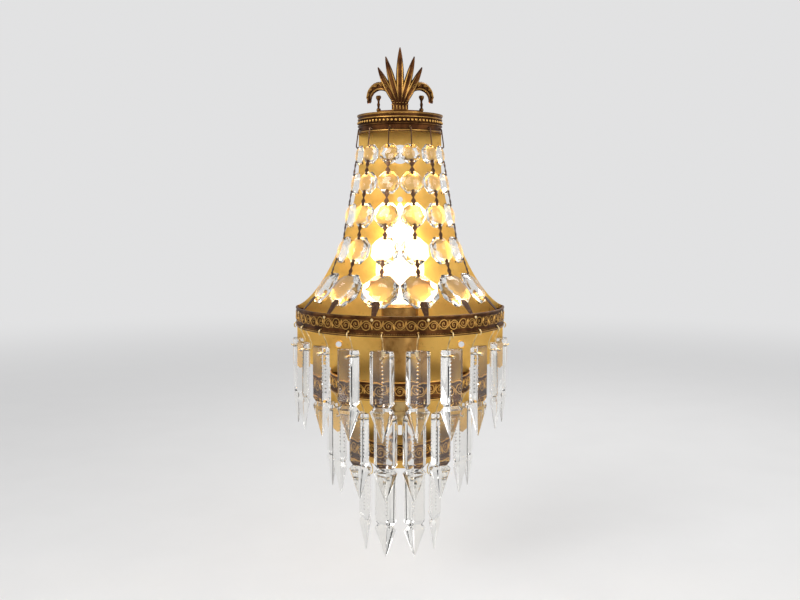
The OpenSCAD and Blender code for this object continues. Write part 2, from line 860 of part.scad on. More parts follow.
module candle_sleeve() {
    color(AGED_BRASS)
        translate([0, lamp_y, sleeve_foot])
            difference() {
                cylinder(h = sleeve_top - sleeve_foot, d = sleeve_d, $fn = fine);
                translate([0, 0, -1])
                    cylinder(h = sleeve_top - sleeve_foot + 2, d = sleeve_d - 2 * sleeve_t, $fn = fine);
            }
}

cap_collar_z = holder_top + 0.6;
glass_foot = cap_collar_z - 3;
glass_neck_r = cap_d / 2 - 0.9;

// The bulb's brass cap: contact, insulator, screw shell and the collar round the glass
module bulb_cap() {
    r = cap_d / 2;
    color(BRIGHT_BRASS)
        translate([0, lamp_y, 0])
            rotate_extrude($fn = fine)
                polygon([
                    [0, cap_foot], [2.4, cap_foot], [2.8, cap_foot + 1], [5.4, cap_foot + 2],
                    [r - 0.5, cap_foot + 3.4], [r, cap_foot + 5], [r, cap_collar_z],
                    [r + 0.9, cap_collar_z + 0.4], [r + 0.9, cap_collar_z + 2.6], [r + 0.5, cap_collar_z + 2.6],
                    [r - 0.4, cap_collar_z], [r - 0.4, glass_foot - 1], [0, glass_foot - 1]
                ]);
}

// Share of the bulb's height at which it is widest, and the straight neck below its swell
bulb_belly = 0.32;
bulb_neck_h = 4.6;
bulb_wall = 0.8;

// Outline of the candle shaped glass, drawn in by inset
function bulb_outline(inset) =
    let (foot = glass_foot + bulb_neck_h, h = bulb_tip - foot - inset, r = bulb_d / 2)
        concat(
            [[glass_neck_r - inset, inset > 0 ? glass_foot - 1 : glass_foot]],
            [for (i = [0:28])
                let (
                    s = i / 28,
                    swell = s < bulb_belly
                        ? glass_neck_r + (r - glass_neck_r) * pow(sin(90 * s / bulb_belly), 1.6)
                        : r * pow(cos(90 * (s - bulb_belly) / (1 - bulb_belly)), 0.92)
                )
                    [i == 28 ? 0 : max(swell - inset, 0.1), foot + h * s]]
        );

module bulb_glass() {
    color(WARM_GLASS)
        translate([0, lamp_y, 0])
            rotate_extrude($fn = fine)
                difference() {
                    polygon(concat([[0, glass_foot]], bulb_outline(0)));
                    polygon(concat([[0, glass_foot - 1]], bulb_outline(bulb_wall)));
                }
}

// Two leads from the holder down through the nipple and back towards the inlet in the plate
module wire_leads() {
    lead_top = holder_base + 20;
    bend_z = inlet_z + lead_bend_r;
    path = [
        [lamp_y, lead_top],
        each arc_path([lamp_y + lead_bend_r, bend_z], lead_bend_r, lead_bend_r, 180, 270, 8),
        [ring_y - lead_end_gap, inlet_z]
    ];
    color([0.75, 0.6, 0.3])
        for (side = [-1, 1])
            translate([side * lead_x, 0, 0])
                wire(path, lead_d);
}

backplate();
crown_band();
palmette_crest();
main_ring();
middle_ring();
lower_ring();
octagons();
strand_links();
lamp_bracket();
bracket_screws();
nipple_and_nuts();
lamp_holder();
candle_sleeve();
bulb_cap();
bulb_glass();
wire_leads();
upper_pendant(1, 0);  // upper_prism_01
upper_pendant(2, 0);  // upper_prism_02
upper_pendant(3, 0);  // upper_prism_03
upper_pendant(4, 0);  // upper_prism_04
upper_pendant(5, 0);  // upper_prism_05
upper_pendant(6, 0);  // upper_prism_06
upper_pendant(7, 0);  // upper_prism_07
upper_pendant(8, 0);  // upper_prism_08
upper_pendant(9, 0);  // upper_prism_09
upper_pendant(10, 0);  // upper_prism_10
upper_pendant(1, 1);  // upper_hook_01
upper_pendant(2, 1);  // upper_hook_02
upper_pendant(3, 1);  // upper_hook_03
upper_pendant(4, 1);  // upper_hook_04
upper_pendant(5, 1);  // upper_hook_05
upper_pendant(6, 1);  // upper_hook_06
upper_pendant(7, 1);  // upper_hook_07
upper_pendant(8, 1);  // upper_hook_08
upper_pendant(9, 1);  // upper_hook_09
upper_pendant(10, 1);  // upper_hook_10
middle_pendant(1, 0);  // middle_prism_01
middle_pendant(2, 0);  // middle_prism_02
middle_pendant(3, 0);  // middle_prism_03
middle_pendant(4, 0);  // middle_prism_04
middle_pendant(5, 0);  // middle_prism_05
middle_pendant(6, 0);  // middle_prism_06
middle_pendant(7, 0);  // middle_prism_07
middle_pendant(8, 0);  // middle_prism_08
middle_pendant(1, 1);  // middle_hook_01
middle_pendant(2, 1);  // middle_hook_02
middle_pendant(3, 1);  // middle_hook_03
middle_pendant(4, 1);  // middle_hook_04
middle_pendant(5, 1);  // middle_hook_05
middle_pendant(6, 1);  // middle_hook_06
middle_pendant(7, 1);  // middle_hook_07
middle_pendant(8, 1);  // middle_hook_08
lower_pendant(1, 0);  // lower_prism_01
lower_pendant(2, 0);  // lower_prism_02
lower_pendant(3, 0);  // lower_prism_03
lower_pendant(4, 0);  // lower_prism_04
lower_pendant(1, 1);  // lower_hook_01
lower_pendant(2, 1);  // lower_hook_02
lower_pendant(3, 1);  // lower_hook_03
lower_pendant(4, 1);  // lower_hook_04
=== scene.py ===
# %% [markdown]
# # A crystal wall lamp: brass, cut beads and spear prisms
#
# The lamp hangs flat on a wall. A sheet brass plate carries a small crown band at the top and
# three half round ring bands below. Six strands of cut beads run from the crown to the widest
# ring, and three tiers of spear prisms swing on wire hooks under the rings. One candle bulb burns
# in the middle.
#
# The solid model of the lamp is loaded first and never moved. Every piece below is built in its
# frame: metres, +Z up, the wall in the plane y = 0, and the room towards -Y.

# %% Load the solid model
import json
from math import asin, atan2, cos, degrees, hypot, pi, radians, sin

import bmesh
import bpy
from mathutils import Matrix, Vector


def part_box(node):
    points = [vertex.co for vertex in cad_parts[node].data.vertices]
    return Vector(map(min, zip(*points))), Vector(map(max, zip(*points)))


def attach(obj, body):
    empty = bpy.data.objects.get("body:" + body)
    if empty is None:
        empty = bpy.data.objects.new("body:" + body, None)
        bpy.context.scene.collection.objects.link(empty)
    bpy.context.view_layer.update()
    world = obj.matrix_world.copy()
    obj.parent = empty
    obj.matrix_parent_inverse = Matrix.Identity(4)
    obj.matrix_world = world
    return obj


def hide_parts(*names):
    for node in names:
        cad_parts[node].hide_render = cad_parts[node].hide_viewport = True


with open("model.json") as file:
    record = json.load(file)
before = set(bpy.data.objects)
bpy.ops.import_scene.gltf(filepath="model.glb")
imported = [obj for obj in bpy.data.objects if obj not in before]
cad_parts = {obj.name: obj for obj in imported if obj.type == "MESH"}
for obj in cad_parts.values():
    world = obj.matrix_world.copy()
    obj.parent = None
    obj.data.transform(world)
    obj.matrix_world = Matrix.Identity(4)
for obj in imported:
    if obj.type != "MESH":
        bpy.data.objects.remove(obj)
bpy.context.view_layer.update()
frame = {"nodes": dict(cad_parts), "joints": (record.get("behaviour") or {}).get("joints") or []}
MM = 0.001

# %% [markdown]
# ## The sizes that everything hangs on
#
# The rings' common axis stands upright in the plate's front face. Their radii and heights are
# read from the solid model, so the ornament below always lands on the bands. The beads are stock
# sizes, measured over the flats.

# %% Read the rings from the model
PLATE_T = -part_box("backplate")[0].y
RING_RELIEF, CROWN_RELIEF = 0.5 * MM, 1.2 * MM
STRAND_ANGLES = [radians(a) for a in (-70, -42, -14, 14, 42, 70)]
# Width over the flats, thickness, distance from the axis and height of each row of beads, in mm
BEAD_ROWS = [
    (14, 5, 31, -1.5),
    (16, 5.6, 34, -22),
    (18, 6.2, 38, -45),
    (20, 7, 43.5, -70),
    (26, 8, 57, -97.5),
]


def ring_of(node, proud):
    """Outer radius of a ring's plain wall and the heights of its two edges."""
    low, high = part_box(node)
    return (high.x - low.x) / 2 - proud, low.z, high.z


main_r, main_low, main_high = ring_of("main_ring", RING_RELIEF)
middle_r, middle_low, middle_high = ring_of("middle_ring", RING_RELIEF)
lower_r, lower_low, lower_high = ring_of("lower_ring", RING_RELIEF)
crown_r, crown_low, crown_high = ring_of("crown_band", CROWN_RELIEF)
print("ring walls, mm:", [round(r / MM, 2) for r in (main_r, middle_r, lower_r, crown_r)])

# %% [markdown]
# ## Working by hand, in code
#
# Each piece starts as a primitive, goes through edit mode operators, and ends with applied
# modifiers. An operator works on whatever is selected, so a few helpers select exactly one
# object, or exactly the faces, edges or corners that pass a test.


# %% Select and shape
def only(*objects):
    """Select these objects and nothing else; the first is the active one."""
    if bpy.context.object and bpy.context.object.mode != "OBJECT":
        bpy.ops.object.mode_set(mode="OBJECT")
    bpy.ops.object.select_all(action="DESELECT")
    for obj in objects:
        obj.select_set(True)
    bpy.context.view_layer.objects.active = objects[0]
    return objects[0]


def start(name):
    """Name the primitive that was just added, fix its place in its mesh and open it in edit mode."""
    made = only(bpy.context.object)
    made.name = name
    bpy.ops.object.transform_apply(location=True, rotation=True, scale=True)
    bpy.ops.object.mode_set(mode="EDIT")
    return made


def pick(kind, test):
    """In edit mode, select the corners (VERT), edges (EDGE) or faces (FACE) that pass the test."""
    bpy.ops.mesh.select_mode(type=kind)
    bpy.ops.mesh.select_all(action="DESELECT")
    mesh = bmesh.from_edit_mesh(bpy.context.object.data)
    items = {"VERT": mesh.verts, "EDGE": mesh.edges, "FACE": mesh.faces}[kind]
    for item in [item for item in items if test(item)]:
        item.select_set(True)
    bmesh.update_edit_mesh(bpy.context.object.data)


def pull(move, scale=(1, 1, 1), about=(0, 0, 0), turn=0):
    """Extrude what is selected, then scale the new end about a point and turn it about Y."""
    bpy.ops.mesh.extrude_region_move(TRANSFORM_OT_translate={"value": move})
    bpy.ops.transform.resize(value=scale, center_override=about)
    if turn:
        bpy.ops.transform.rotate(value=turn, orient_axis="Y", center_override=about)


def crease(push, test):
    """Split the mesh down its middle and push those middle corners that pass the test, in mm."""
    bpy.ops.mesh.select_all(action="SELECT")
    bpy.ops.mesh.bisect(plane_co=(0, 0, 0), plane_no=(1, 0, 0))
    pick("VERT", lambda v: abs(v.co.x) < 0.01 * MM and test(v))
    bpy.ops.transform.translate(value=(0, push * MM, 0))


print("ready to select and shape")


# %% Modify and clean
def modify(obj, kind, **settings):
    """Add a modifier, set it and apply it."""
    only(obj)
    modifier = obj.modifiers.new(kind.title(), kind)
    for key, value in settings.items():
        setattr(modifier, key, value)
    bpy.ops.object.modifier_apply(modifier=modifier.name)
    return obj


def soften(obj, width, segments=2, angle=40):
    """Bevel the edges that are sharper than the angle; the width is in millimetres."""
    limit = {"limit_method": "ANGLE", "angle_limit": radians(angle)}
    return modify(obj, "BEVEL", width=width * MM, segments=segments, **limit)


def clean(obj, outside=True):
    """Merge doubled corners and turn every face outwards."""
    only(obj)
    bpy.ops.object.mode_set(mode="EDIT")
    bpy.ops.mesh.select_all(action="SELECT")
    bpy.ops.mesh.remove_doubles(threshold=0.005 * MM)
    if outside:
        bpy.ops.mesh.normals_make_consistent(inside=False)
    bpy.ops.object.mode_set(mode="OBJECT")
    return obj


def smooth(obj, angle=35):
    """Shade smooth, but keep edges sharper than the angle."""
    only(obj)
    bpy.ops.object.shade_smooth_by_angle(angle=radians(angle))
    return obj


print("ready to modify and clean")

# %% [markdown]
# ## One finished mesh, many places
#
# What repeats on the lamp is made once and copied, each copy with a mesh of its own. A finished
# piece has its place in its mesh and its object at the origin, as the solid model's pieces do, so
# the patterns of its finish stay where they are.


# %% Copy, place and join
def place(obj, matrix):
    """Move a finished mesh by the matrix and keep its object at the origin."""
    only(obj)
    obj.matrix_world = matrix
    bpy.ops.object.transform_apply(location=True, rotation=True, scale=True)
    return obj


def copy_of(obj, name, matrix):
    """A copy with its own mesh, moved by the matrix."""
    only(obj)
    bpy.ops.object.duplicate()
    made = bpy.context.object
    made.name = name
    return place(made, matrix)


def joined(name, objects):
    """Several objects as one."""
    made = only(*objects)
    if len(objects) > 1:
        bpy.ops.object.join()
    made.name = name
    return made


def discard(obj):
    bpy.data.objects.remove(obj, do_unlink=True)


def carve(obj, *cutters):
    """Cut the cutters out of obj and throw them away."""
    for cutter in cutters:
        modify(obj, "BOOLEAN", operation="DIFFERENCE", solver="EXACT", object=cutter)
        discard(cutter)
    return obj


print("ready to copy, place, join and carve")

# %% [markdown]
# ## Shader maths as plain sums
#
# A finish is easier to read as sums than as a list of nodes. `Value` wraps one socket, and
# adding, multiplying or dividing it adds the Math node that does so. `Nodes` is a node tree with
# a single method for any other node, and `Finish` is the tree of one material.


# %% A value on a socket
class Value:
    """A number or colour on a socket, which works in sums as a Python number does."""

    def __init__(self, nodes, socket):
        self.nodes = nodes
        self.socket = socket

    def math(self, operation, *terms):
        return self.nodes.node("ShaderNodeMath", {"operation": operation}, dict(enumerate(terms)))

    def __add__(self, other):
        return self.math("ADD", self, other)

    def __sub__(self, other):
        return self.math("SUBTRACT", self, other)

    def __rsub__(self, other):
        return self.math("SUBTRACT", other, self)

    def __mul__(self, other):
        return self.math("MULTIPLY", self, other)

    def __truediv__(self, other):
        return self.math("DIVIDE", self, other)

    def __pow__(self, other):
        return self.math("POWER", self, other)

    __radd__ = __add__
    __rmul__ = __mul__


print("a Value is ready for sums")


# %% Trees of nodes
class Nodes:
    """A node tree, of a material or of the world."""

    def __init__(self, tree):
        self.tree = tree
        self.tree.nodes.clear()

    def node(self, kind, settings=None, sockets=None, out=0):
        """Any node: its settings first, then the values or links of its sockets."""
        made = self.tree.nodes.new(kind)
        for key, setting in (settings or {}).items():
            setattr(made, key, setting)
        for key, given in (sockets or {}).items():
            if isinstance(given, Value):
                self.tree.links.new(given.socket, made.inputs[key])
            else:
                made.inputs[key].default_value = given
        return Value(self, made.outputs[out])

    def looked_at(self):
        """1 for rays that look at a thing: from the camera, or by way of metal or glass."""
        kinds = ("Camera", "Glossy", "Transmission")
        camera, metal, glass = [self.node("ShaderNodeLightPath", out=f"Is {k} Ray") for k in kinds]
        return camera.math("MAXIMUM", camera, metal.math("MAXIMUM", metal, glass))

    def mixed(self, share, first, second):
        """The first shader at share 0 and the second at share 1."""
        return self.node("ShaderNodeMixShader", {}, {0: share, 1: first, 2: second})

    def surface(self, shader, output):
        """Lead the shader to the tree's output node."""
        self.tree.links.new(shader.socket, self.tree.nodes.new(output).inputs["Surface"])


print("a node tree offers", [name for name in vars(Nodes) if not name.startswith("_")])


# %% The tree of one material
class Finish(Nodes):
    """One procedural material."""

    def __init__(self, name):
        self.material = bpy.data.materials.new(name)
        self.material.use_nodes = True
        super().__init__(self.material.node_tree)
        self.at = self.node("ShaderNodeTexCoord", out="Object")

    def noise(self, scale, detail=3.0, rough=0.55, at=None):
        """Cloudy values from 0 to 1, at so many clouds per metre."""
        sockets = {"Vector": at or self.at, "Scale": scale, "Detail": detail, "Roughness": rough}
        return self.node("ShaderNodeTexNoise", {}, sockets)

    def stretched(self, scale):
        """The place, scaled on each axis, for streaks."""
        return self.node("ShaderNodeMapping", {}, {"Vector": self.at, "Scale": scale})

    def step(self, value, low, high):
        """A soft step from 0 at low to 1 at high."""
        sockets = {"Value": value, "From Min": low, "From Max": high}
        return self.node("ShaderNodeMapRange", {"interpolation_type": "SMOOTHSTEP"}, sockets)

    def colours(self, share, first, second):
        """The first colour at share 0 and the second at share 1."""
        ends = [end if isinstance(end, Value) else (*end, 1) for end in (first, second)]
        sockets = {0: share, 6: ends[0], 7: ends[1]}
        return self.node("ShaderNodeMix", {"data_type": "RGBA"}, sockets, out=2)

    def part_of(self, axis):
        """One coordinate of the place, in metres."""
        return self.node("ShaderNodeSeparateXYZ", {}, {"Vector": self.at}, out=axis)

    def from_axis(self):
        """Distance from the rings' upright axis, in metres."""
        x = self.part_of("X")
        y = self.part_of("Y") + PLATE_T
        return (x * x + y * y) ** 0.5

    def bump(self, height, depth, strength=1.0):
        """A normal from a height from 0 to 1, so many metres deep."""
        sockets = {"Height": height, "Distance": depth, "Strength": strength}
        return self.node("ShaderNodeBump", {}, sockets)

    def principled(self, **sockets):
        """The shader, with socket names written with underscores."""
        named = {key.replace("_", " "): given for key, given in sockets.items()}
        return self.node("ShaderNodeBsdfPrincipled", {}, named)

    def done(self, shader):
        """Give the finished material."""
        self.surface(shader, "ShaderNodeOutputMaterial")
        return self.material

    def metal(self, colour, rough, relief):
        """Give a metal of this colour, roughness and fine relief."""
        shader = self.principled(
            Base_Color=colour, Metallic=1.0, Roughness=rough, Normal=relief
        )
        return self.done(shader)


print("a finish adds", [name for name in vars(Finish) if not name.startswith("_")])


# %% Put a finish on a piece
def dress_node(node, material):
    """Put a material on a node of the solid model, whose mesh is never changed."""
    target = frame["nodes"][node]
    for slot in target.material_slots:
        slot.material = material
    if not target.material_slots:
        target.data.materials.append(material)


def fitted(obj, material, slot, body, *nodes):
    """The last step of a new piece: its finish, its body and the nodes it stands for; slot is not
    used.
    """
    obj.data.materials.clear()
    obj.data.materials.append(material)
    for face in obj.data.polygons:
        face.material_index = 0
    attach(obj, body)
    if nodes:
        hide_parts(*nodes)
    return obj


print("ready to dress nodes and new pieces")

# %% [markdown]
# ## Polished plate brass
#
# The plate is polished sheet that has gone warm and cloudy. Three things show on it: fine upright
# brushing from its last polish, soft clouds of tarnish with a few age spots, and a browner patch
# where the bulb's heat rises. Upright brushing is noise that is stretched along Z.

# %% Plate finish
HEAT_Z = -78 * MM
HEAT_WIDTH, HEAT_HEIGHT = 34 * MM, 62 * MM


def plate_finish():
    polished, tarnished, aged = (0.83, 0.50, 0.125), (0.60, 0.32, 0.07), (0.33, 0.17, 0.05)
    f = Finish("polished_plate_brass")
    clouds = f.noise(38, 4)
    spots = f.step(f.noise(420, 2, 0.6), 0.62, 0.74)
    brushed = f.noise(1, 3, 0.6, f.stretched((1500, 1500, 26)))
    x = f.part_of("X") / HEAT_WIDTH
    z = (f.part_of("Z") - HEAT_Z) / HEAT_HEIGHT
    heat = 1 - f.step((x * x + z * z) ** 0.5, 0.2, 1.15)
    tarnish = f.step(clouds + 0.1 * heat, 0.42, 0.8)
    colour = f.colours(0.3 * spots, f.colours(tarnish, polished, tarnished), aged)
    rough = 0.24 + 0.16 * tarnish + 0.10 * brushed + 0.12 * spots
    return f.metal(colour, rough, f.bump(brushed, 0.012 * MM, 0.5))


plate_brass = plate_finish()
print("plate:", plate_brass.name)

# %% [markdown]
# ## Stamped brass, dipped dark and wiped
#
# The bands and the crest are stamped and then dipped dark, and the hand that wiped them left only
# what stands proud bright. So their colour follows the distance from the rings' axis: `shine`
# says how bright the proud parts are, and `edge` how much of that the rims along both edges get.
# The rims of the widest ring and the crown are wiped less, so they stay darker than the rims of the
# other rings.


# %% Stamped finishes
def stamped_finish(name, wall_r, low, high, edge=1.0, shine=0.85):
    """Dark brass, wiped bright past wall_r by the share shine and on its rims by the share edge."""
    f = Finish(name)
    proud = f.step(f.from_axis(), wall_r + 0.08 * MM, wall_r + 0.5 * MM)
    z = f.part_of("Z")
    clouds = f.noise(120, 4)
    grain = f.noise(2600, 2, 0.6)
    upper_rim = f.step(z, high - 1.6 * MM, high - 0.6 * MM)
    lower_rim = 1 - f.step(z, low + 0.5 * MM, low + 1.2 * MM)
    rims = upper_rim + lower_rim
    relief = proud * (1 - 0.9 * (1 - edge) * rims)
    rubbed = 0.5 + 0.8 * f.noise(70, 2)
    touched = 0.9 * relief * rubbed + 0.35 * edge * rims + 0.5 * clouds
    wiped = shine * f.step(touched, 0.42, 1.1)
    dipped = f.colours(f.step(clouds, 0.35, 0.7), (0.045, 0.016, 0.006), (0.125, 0.048, 0.015))
    colour = f.colours(wiped, dipped, (0.74, 0.42, 0.11))
    rough = 0.52 - 0.24 * wiped + 0.14 * (grain - 0.5)
    return f.metal(colour, rough, f.bump(grain, 0.03 * MM, 0.6))


NO_RIMS = (-1, 1)
main_brass = stamped_finish(
    "stamped_brass_main", main_r, main_low, main_high, edge=0.2, shine=0.62
)
middle_brass = stamped_finish("stamped_brass_middle", middle_r, middle_low, middle_high)
lower_brass = stamped_finish("stamped_brass_lower", lower_r, lower_low, lower_high)
crown_brass = stamped_finish(
    "stamped_brass_crown", crown_r + 0.45 * MM, crown_low, crown_high, edge=0.3, shine=0.75
)
crest_brass = stamped_finish("stamped_brass_crest", crown_r + 0.1 * MM, *NO_RIMS, shine=0.5)
print("stamped finishes:", [m.name for m in bpy.data.materials if m.name.startswith("stamped")])

# %% [markdown]
# ## Brass of the small parts
#
# The clips between the beads are nearly black and worn brown in places. The hooks are drawn wire,
# with fine marks of the die along them. The bracket and the candle sleeve are rolled brass that
# was never polished, with faint rolling lines across.


# %% Clip, wire and rolled finishes
def clip_finish():
    f = Finish("blackened_clip_brass")
    clouds = f.noise(500, 3)
    worn = f.step(clouds, 0.5, 0.8)
    colour = f.colours(worn, (0.085, 0.043, 0.027), (0.22, 0.13, 0.07))
    return f.metal(colour, 0.46 - 0.14 * worn, f.bump(clouds, 0.02 * MM, 0.5))


def wire_finish():
    f = Finish("drawn_brass_wire")
    drawn = f.noise(1, 2, 0.6, f.stretched((5200, 5200, 240)))
    dull = f.step(f.noise(210, 3), 0.45, 0.75)
    colour = f.colours(dull, (0.86, 0.66, 0.33), (0.50, 0.33, 0.14))
    return f.metal(colour, 0.22 + 0.14 * drawn + 0.12 * dull, f.bump(drawn, 0.01 * MM, 0.4))


def rolled_finish(name, bright, dull):
    """Plain rolled brass, between a bright and a dull colour."""
    f = Finish(name)
    rolled = f.noise(1, 3, 0.6, f.stretched((40, 900, 900)))
    clouds = f.step(f.noise(150, 3), 0.4, 0.75)
    colour = f.colours(clouds, bright, dull)
    return f.metal(colour, 0.36 + 0.2 * clouds, f.bump(rolled, 0.02 * MM, 0.5))


clip_brass = clip_finish()
wire_brass = wire_finish()
bracket_brass = rolled_finish("bracket_brass", (0.60, 0.42, 0.18), (0.30, 0.18, 0.08))
sleeve_brass = rolled_finish("brown_sleeve_brass", (0.40, 0.22, 0.065), (0.23, 0.115, 0.032))
print("small parts:", [m.name for m in (clip_brass, wire_brass, bracket_brass, sleeve_brass)])

# %% [markdown]
# ## Lead crystal and the bulb's glass
#
# Crystal is clear all through, so its looks come from its facets and its high index, not from a
# pattern. A faint film of dust dulls it in places, and its slight grey tint keeps its outlines
# readable in front of a pale background. A cut stone throws sharp light that a path tracer finds
# slowly, so rays from the lamps pass straight through it and the metal behind stays lit.


# %% Glass finishes
def lets_lamps_through(f, shader):
    """Mix in a clear pass for the lamps' own rays."""
    lamp_ray = f.node("ShaderNodeLightPath", out="Is Shadow Ray")
    clear = f.node("ShaderNodeBsdfTransparent", {}, {"Color": (0.94, 0.95, 0.96, 1)})
    return f.mixed(lamp_ray, shader, clear)


def crystal_finish():
    f = Finish("cut_lead_crystal")
    film = f.step(f.noise(260, 4, 0.65), 0.5, 0.85)
    shader = f.principled(
        Base_Color=f.colours(film, (0.93, 0.92, 0.89), (0.83, 0.83, 0.81)), Metallic=0.0,
        Roughness=0.006 + 0.05 * film, IOR=1.56, Transmission_Weight=1.0,
    )
    return f.done(lets_lamps_through(f, shader))


def bulb_finish():
    """Clear glass that glows warm round the filament and fades towards the neck and the tip."""
    f = Finish("warm_bulb_glass")
    z = f.part_of("Z")
    glow = f.step(z, -116 * MM, -98 * MM) * (1 - f.step(z, -86 * MM, -50 * MM))
    mist = f.noise(180, 3)
    shader = f.principled(
        Base_Color=f.colours(0.5 * mist, (1.0, 0.93, 0.78), (1.0, 0.84, 0.62)),
        Roughness=0.05 + 0.10 * mist, IOR=1.46, Transmission_Weight=1.0,
        Emission_Color=f.colours(glow, (0.06, 0.026, 0.006), (1.0, 0.80, 0.50)),
        Emission_Strength=0.9,
    )
    return f.done(lets_lamps_through(f, shader))


crystal = crystal_finish()
bulb_glass = bulb_finish()
print("glass finishes:", crystal.name, "and", bulb_glass.name)

# %% [markdown]
# ## Insulator and leads, and a finish on every solid
#
# The holder and the leads show only between the beads and from above. The holder is moulded
# insulator with a grainy skin, and the leads have a woven sheath. The solids of these small parts
# already have the right shape, so they stay, and every solid gets its real finish here.


# %% Insulator and sheath
def moulded_finish():
    f = Finish("ivory_moulded_insulator")
    clouds = f.noise(90, 3)
    skin = f.bump(f.noise(3200, 2, 0.7), 0.03 * MM, 0.5)
    colour = f.colours(clouds, (0.78, 0.72, 0.60), (0.62, 0.54, 0.40))
    return f.done(f.principled(Base_Color=colour, Roughness=0.42 + 0.2 * clouds, Normal=skin))


def sheath_finish():
    f = Finish("gold_woven_sheath")
    threads = {"Vector": f.at, "Scale": 900.0, "Distortion": 0.6, "Detail": 1.0}
    weave = f.node("ShaderNodeTexWave", {"bands_direction": "DIAGONAL"}, threads)
    colour = f.colours(weave, (0.42, 0.29, 0.11), (0.72, 0.55, 0.26))
    relief = f.bump(weave, 0.1 * MM, 0.6)
    return f.done(f.principled(Base_Color=colour, Roughness=0.62 + 0.15 * weave, Normal=relief))


insulator = moulded_finish()
sheath = sheath_finish()
print("insulator and sheath:", insulator.name, "and", sheath.name)

# %% Dress the solid model
NODE_FINISHES = {
    "backplate": plate_brass,
    "crown_band": crown_brass,
    "palmette_crest": crown_brass,
    "main_ring": main_brass,
    "middle_ring": middle_brass,
    "lower_ring": lower_brass,
    "octagons": crystal,
    "strand_links": clip_brass,
    "lamp_bracket": bracket_brass,
    "bracket_screws": wire_brass,
    "nipple_and_nuts": bracket_brass,
    "lamp_holder": insulator,
    "candle_sleeve": sleeve_brass,
    "bulb_cap": wire_brass,
    "bulb_glass": bulb_glass,
    "wire_leads": sheath,
}
for node in frame["nodes"]:
    pendant_finish = crystal if "prism" in node else wire_brass
    dress_node(node, NODE_FINISHES.get(node, pendant_finish))
print("finishes on", len(frame["nodes"]), "nodes of the solid model")

# %% [markdown]
# ## The cut beads
#
# A bead is an octagon cut on both sides. It starts as a cylinder of eight sides as thick as the
# girdle. Each face is pulled out twice and turned half a side each time, so the sides between two
# rings are twisted; cut along their short diagonals they become the triangles that a cutter's
# wheel leaves. A fine bevel breaks the edges, as on a stone that was polished by hand, and two
# bores take the pins.


# %% Rods for pins and bores
def rod(name, radius, length, centre, along="Y", sides=24):
    """A round rod, as a pin or as a cutter for a bore; its sizes are in millimetres."""
    turns = {"X": (0, radians(90), 0), "Y": (radians(90), 0, 0)}
    bpy.ops.mesh.primitive_cylinder_add(
        vertices=sides, radius=radius * MM, depth=length * MM,
        location=[c * MM for c in centre], rotation=turns[along],
    )
    made = start(name)
    bpy.ops.object.mode_set(mode="OBJECT")
    return made


print("rods ready")

# %% Cut one bead of each size
# Shares of the thickness at the girdle and the crown cut, and of the width at the crown cut and
# the table
GIRDLE, CROWN_AT = 0.14, 0.62
CROWN_CUT, TABLE = 0.8, 0.46
HALF_SIDE = radians(22.5)
FLAT = cos(HALF_SIDE)
BORE_R, BORE_IN = 0.85, 1.8


def cut_bead(name, width, thick):
    """A bead with its front towards -Y and a flat side up; sizes in millimetres."""
    half = thick / 2 * MM
    bpy.ops.mesh.primitive_cylinder_add(
        vertices=8, radius=width / 2 / FLAT * MM, depth=2 * GIRDLE * half,
        rotation=(radians(90), HALF_SIDE, 0),
    )
    made = start(name)
    for side in (-1, 1):
        pick("FACE", lambda f: f.normal.y * side > 0.99)
        crown, table = (0, side * CROWN_AT * half, 0), (0, side * half, 0)
        pull((0, side * (CROWN_AT - GIRDLE) * half, 0), (CROWN_CUT,) * 3, crown, HALF_SIDE)
        pull((0, side * (1 - CROWN_AT) * half, 0), (TABLE / CROWN_CUT,) * 3, table, HALF_SIDE)
    pick("FACE", lambda f: len(f.verts) == 4 and abs(f.normal.y) > 0.02)
    bpy.ops.mesh.quads_convert_to_tris(quad_method="SHORTEST_DIAGONAL")
    soften(made, 0.12, segments=1, angle=8)
    bores = [rod("bore", BORE_R, 2 * thick, (0, 0, end * (width / 2 - BORE_IN))) for end in (-1, 1)]
    return smooth(carve(made, *bores), 18)


beads = [cut_bead(f"bead_{i + 1}", *row[:2]) for i, row in enumerate(BEAD_ROWS)]
print("corners in each bead:", [len(bead.data.vertices) for bead in beads])

# %% [markdown]
# ## Hanging the beads
#
# A strand hangs from the crown's pin hole to the hole in the main ring. Every bead leans along the
# line from the station above it to the station below it. The strand is laid out once in the plane
# x = 0 and then turned to its six places around the rings' axis.

# %% Lay out one strand and turn it to its places
AXIS_AT = Matrix.Translation((0, -PLATE_T, 0))
CROWN_PIN = (30, 17.5)
RING_PIN = (77, -114.8)
stations = [CROWN_PIN] + [row[2:] for row in BEAD_ROWS] + [RING_PIN]
leans = [
    atan2(below[0] - above[0], above[1] - below[1])
    for above, below in zip(stations[:-2], stations[2:])
]


def bead_at(k):
    """Where bead k sits in the strand's plane."""
    out, height = BEAD_ROWS[k][2:]
    return Matrix.Translation((0, -out * MM, height * MM)) @ Matrix.Rotation(-leans[k], 4, "X")


strand = joined("strand", [place(bead, bead_at(k)) for k, bead in enumerate(beads)])
for n, angle in enumerate(STRAND_ANGLES):
    beads_here = copy_of(strand, f"strand_beads_{n + 1}", AXIS_AT @ Matrix.Rotation(angle, 4, "Z"))
    fitted(beads_here, crystal, "crystal", "root", "octagons")
discard(strand)
print("strands:", len(STRAND_ANGLES), "with beads that lean", [round(degrees(a), 1) for a in leans])

# %% [markdown]
# ## Bow tie clips and their pins
#
# Two beads are joined by a stamped bow tie in front of them. It has a pin at each end that goes
# through the bore and is headed over behind. A stamped strip gets its stiffness from a raised
# crease down the middle, so each strip is pulled from station to station, split along the middle,
# and the middle is pushed out where the strip is wide.

# %% Strips
SLICE = 0.1
STRIP_T = 0.4


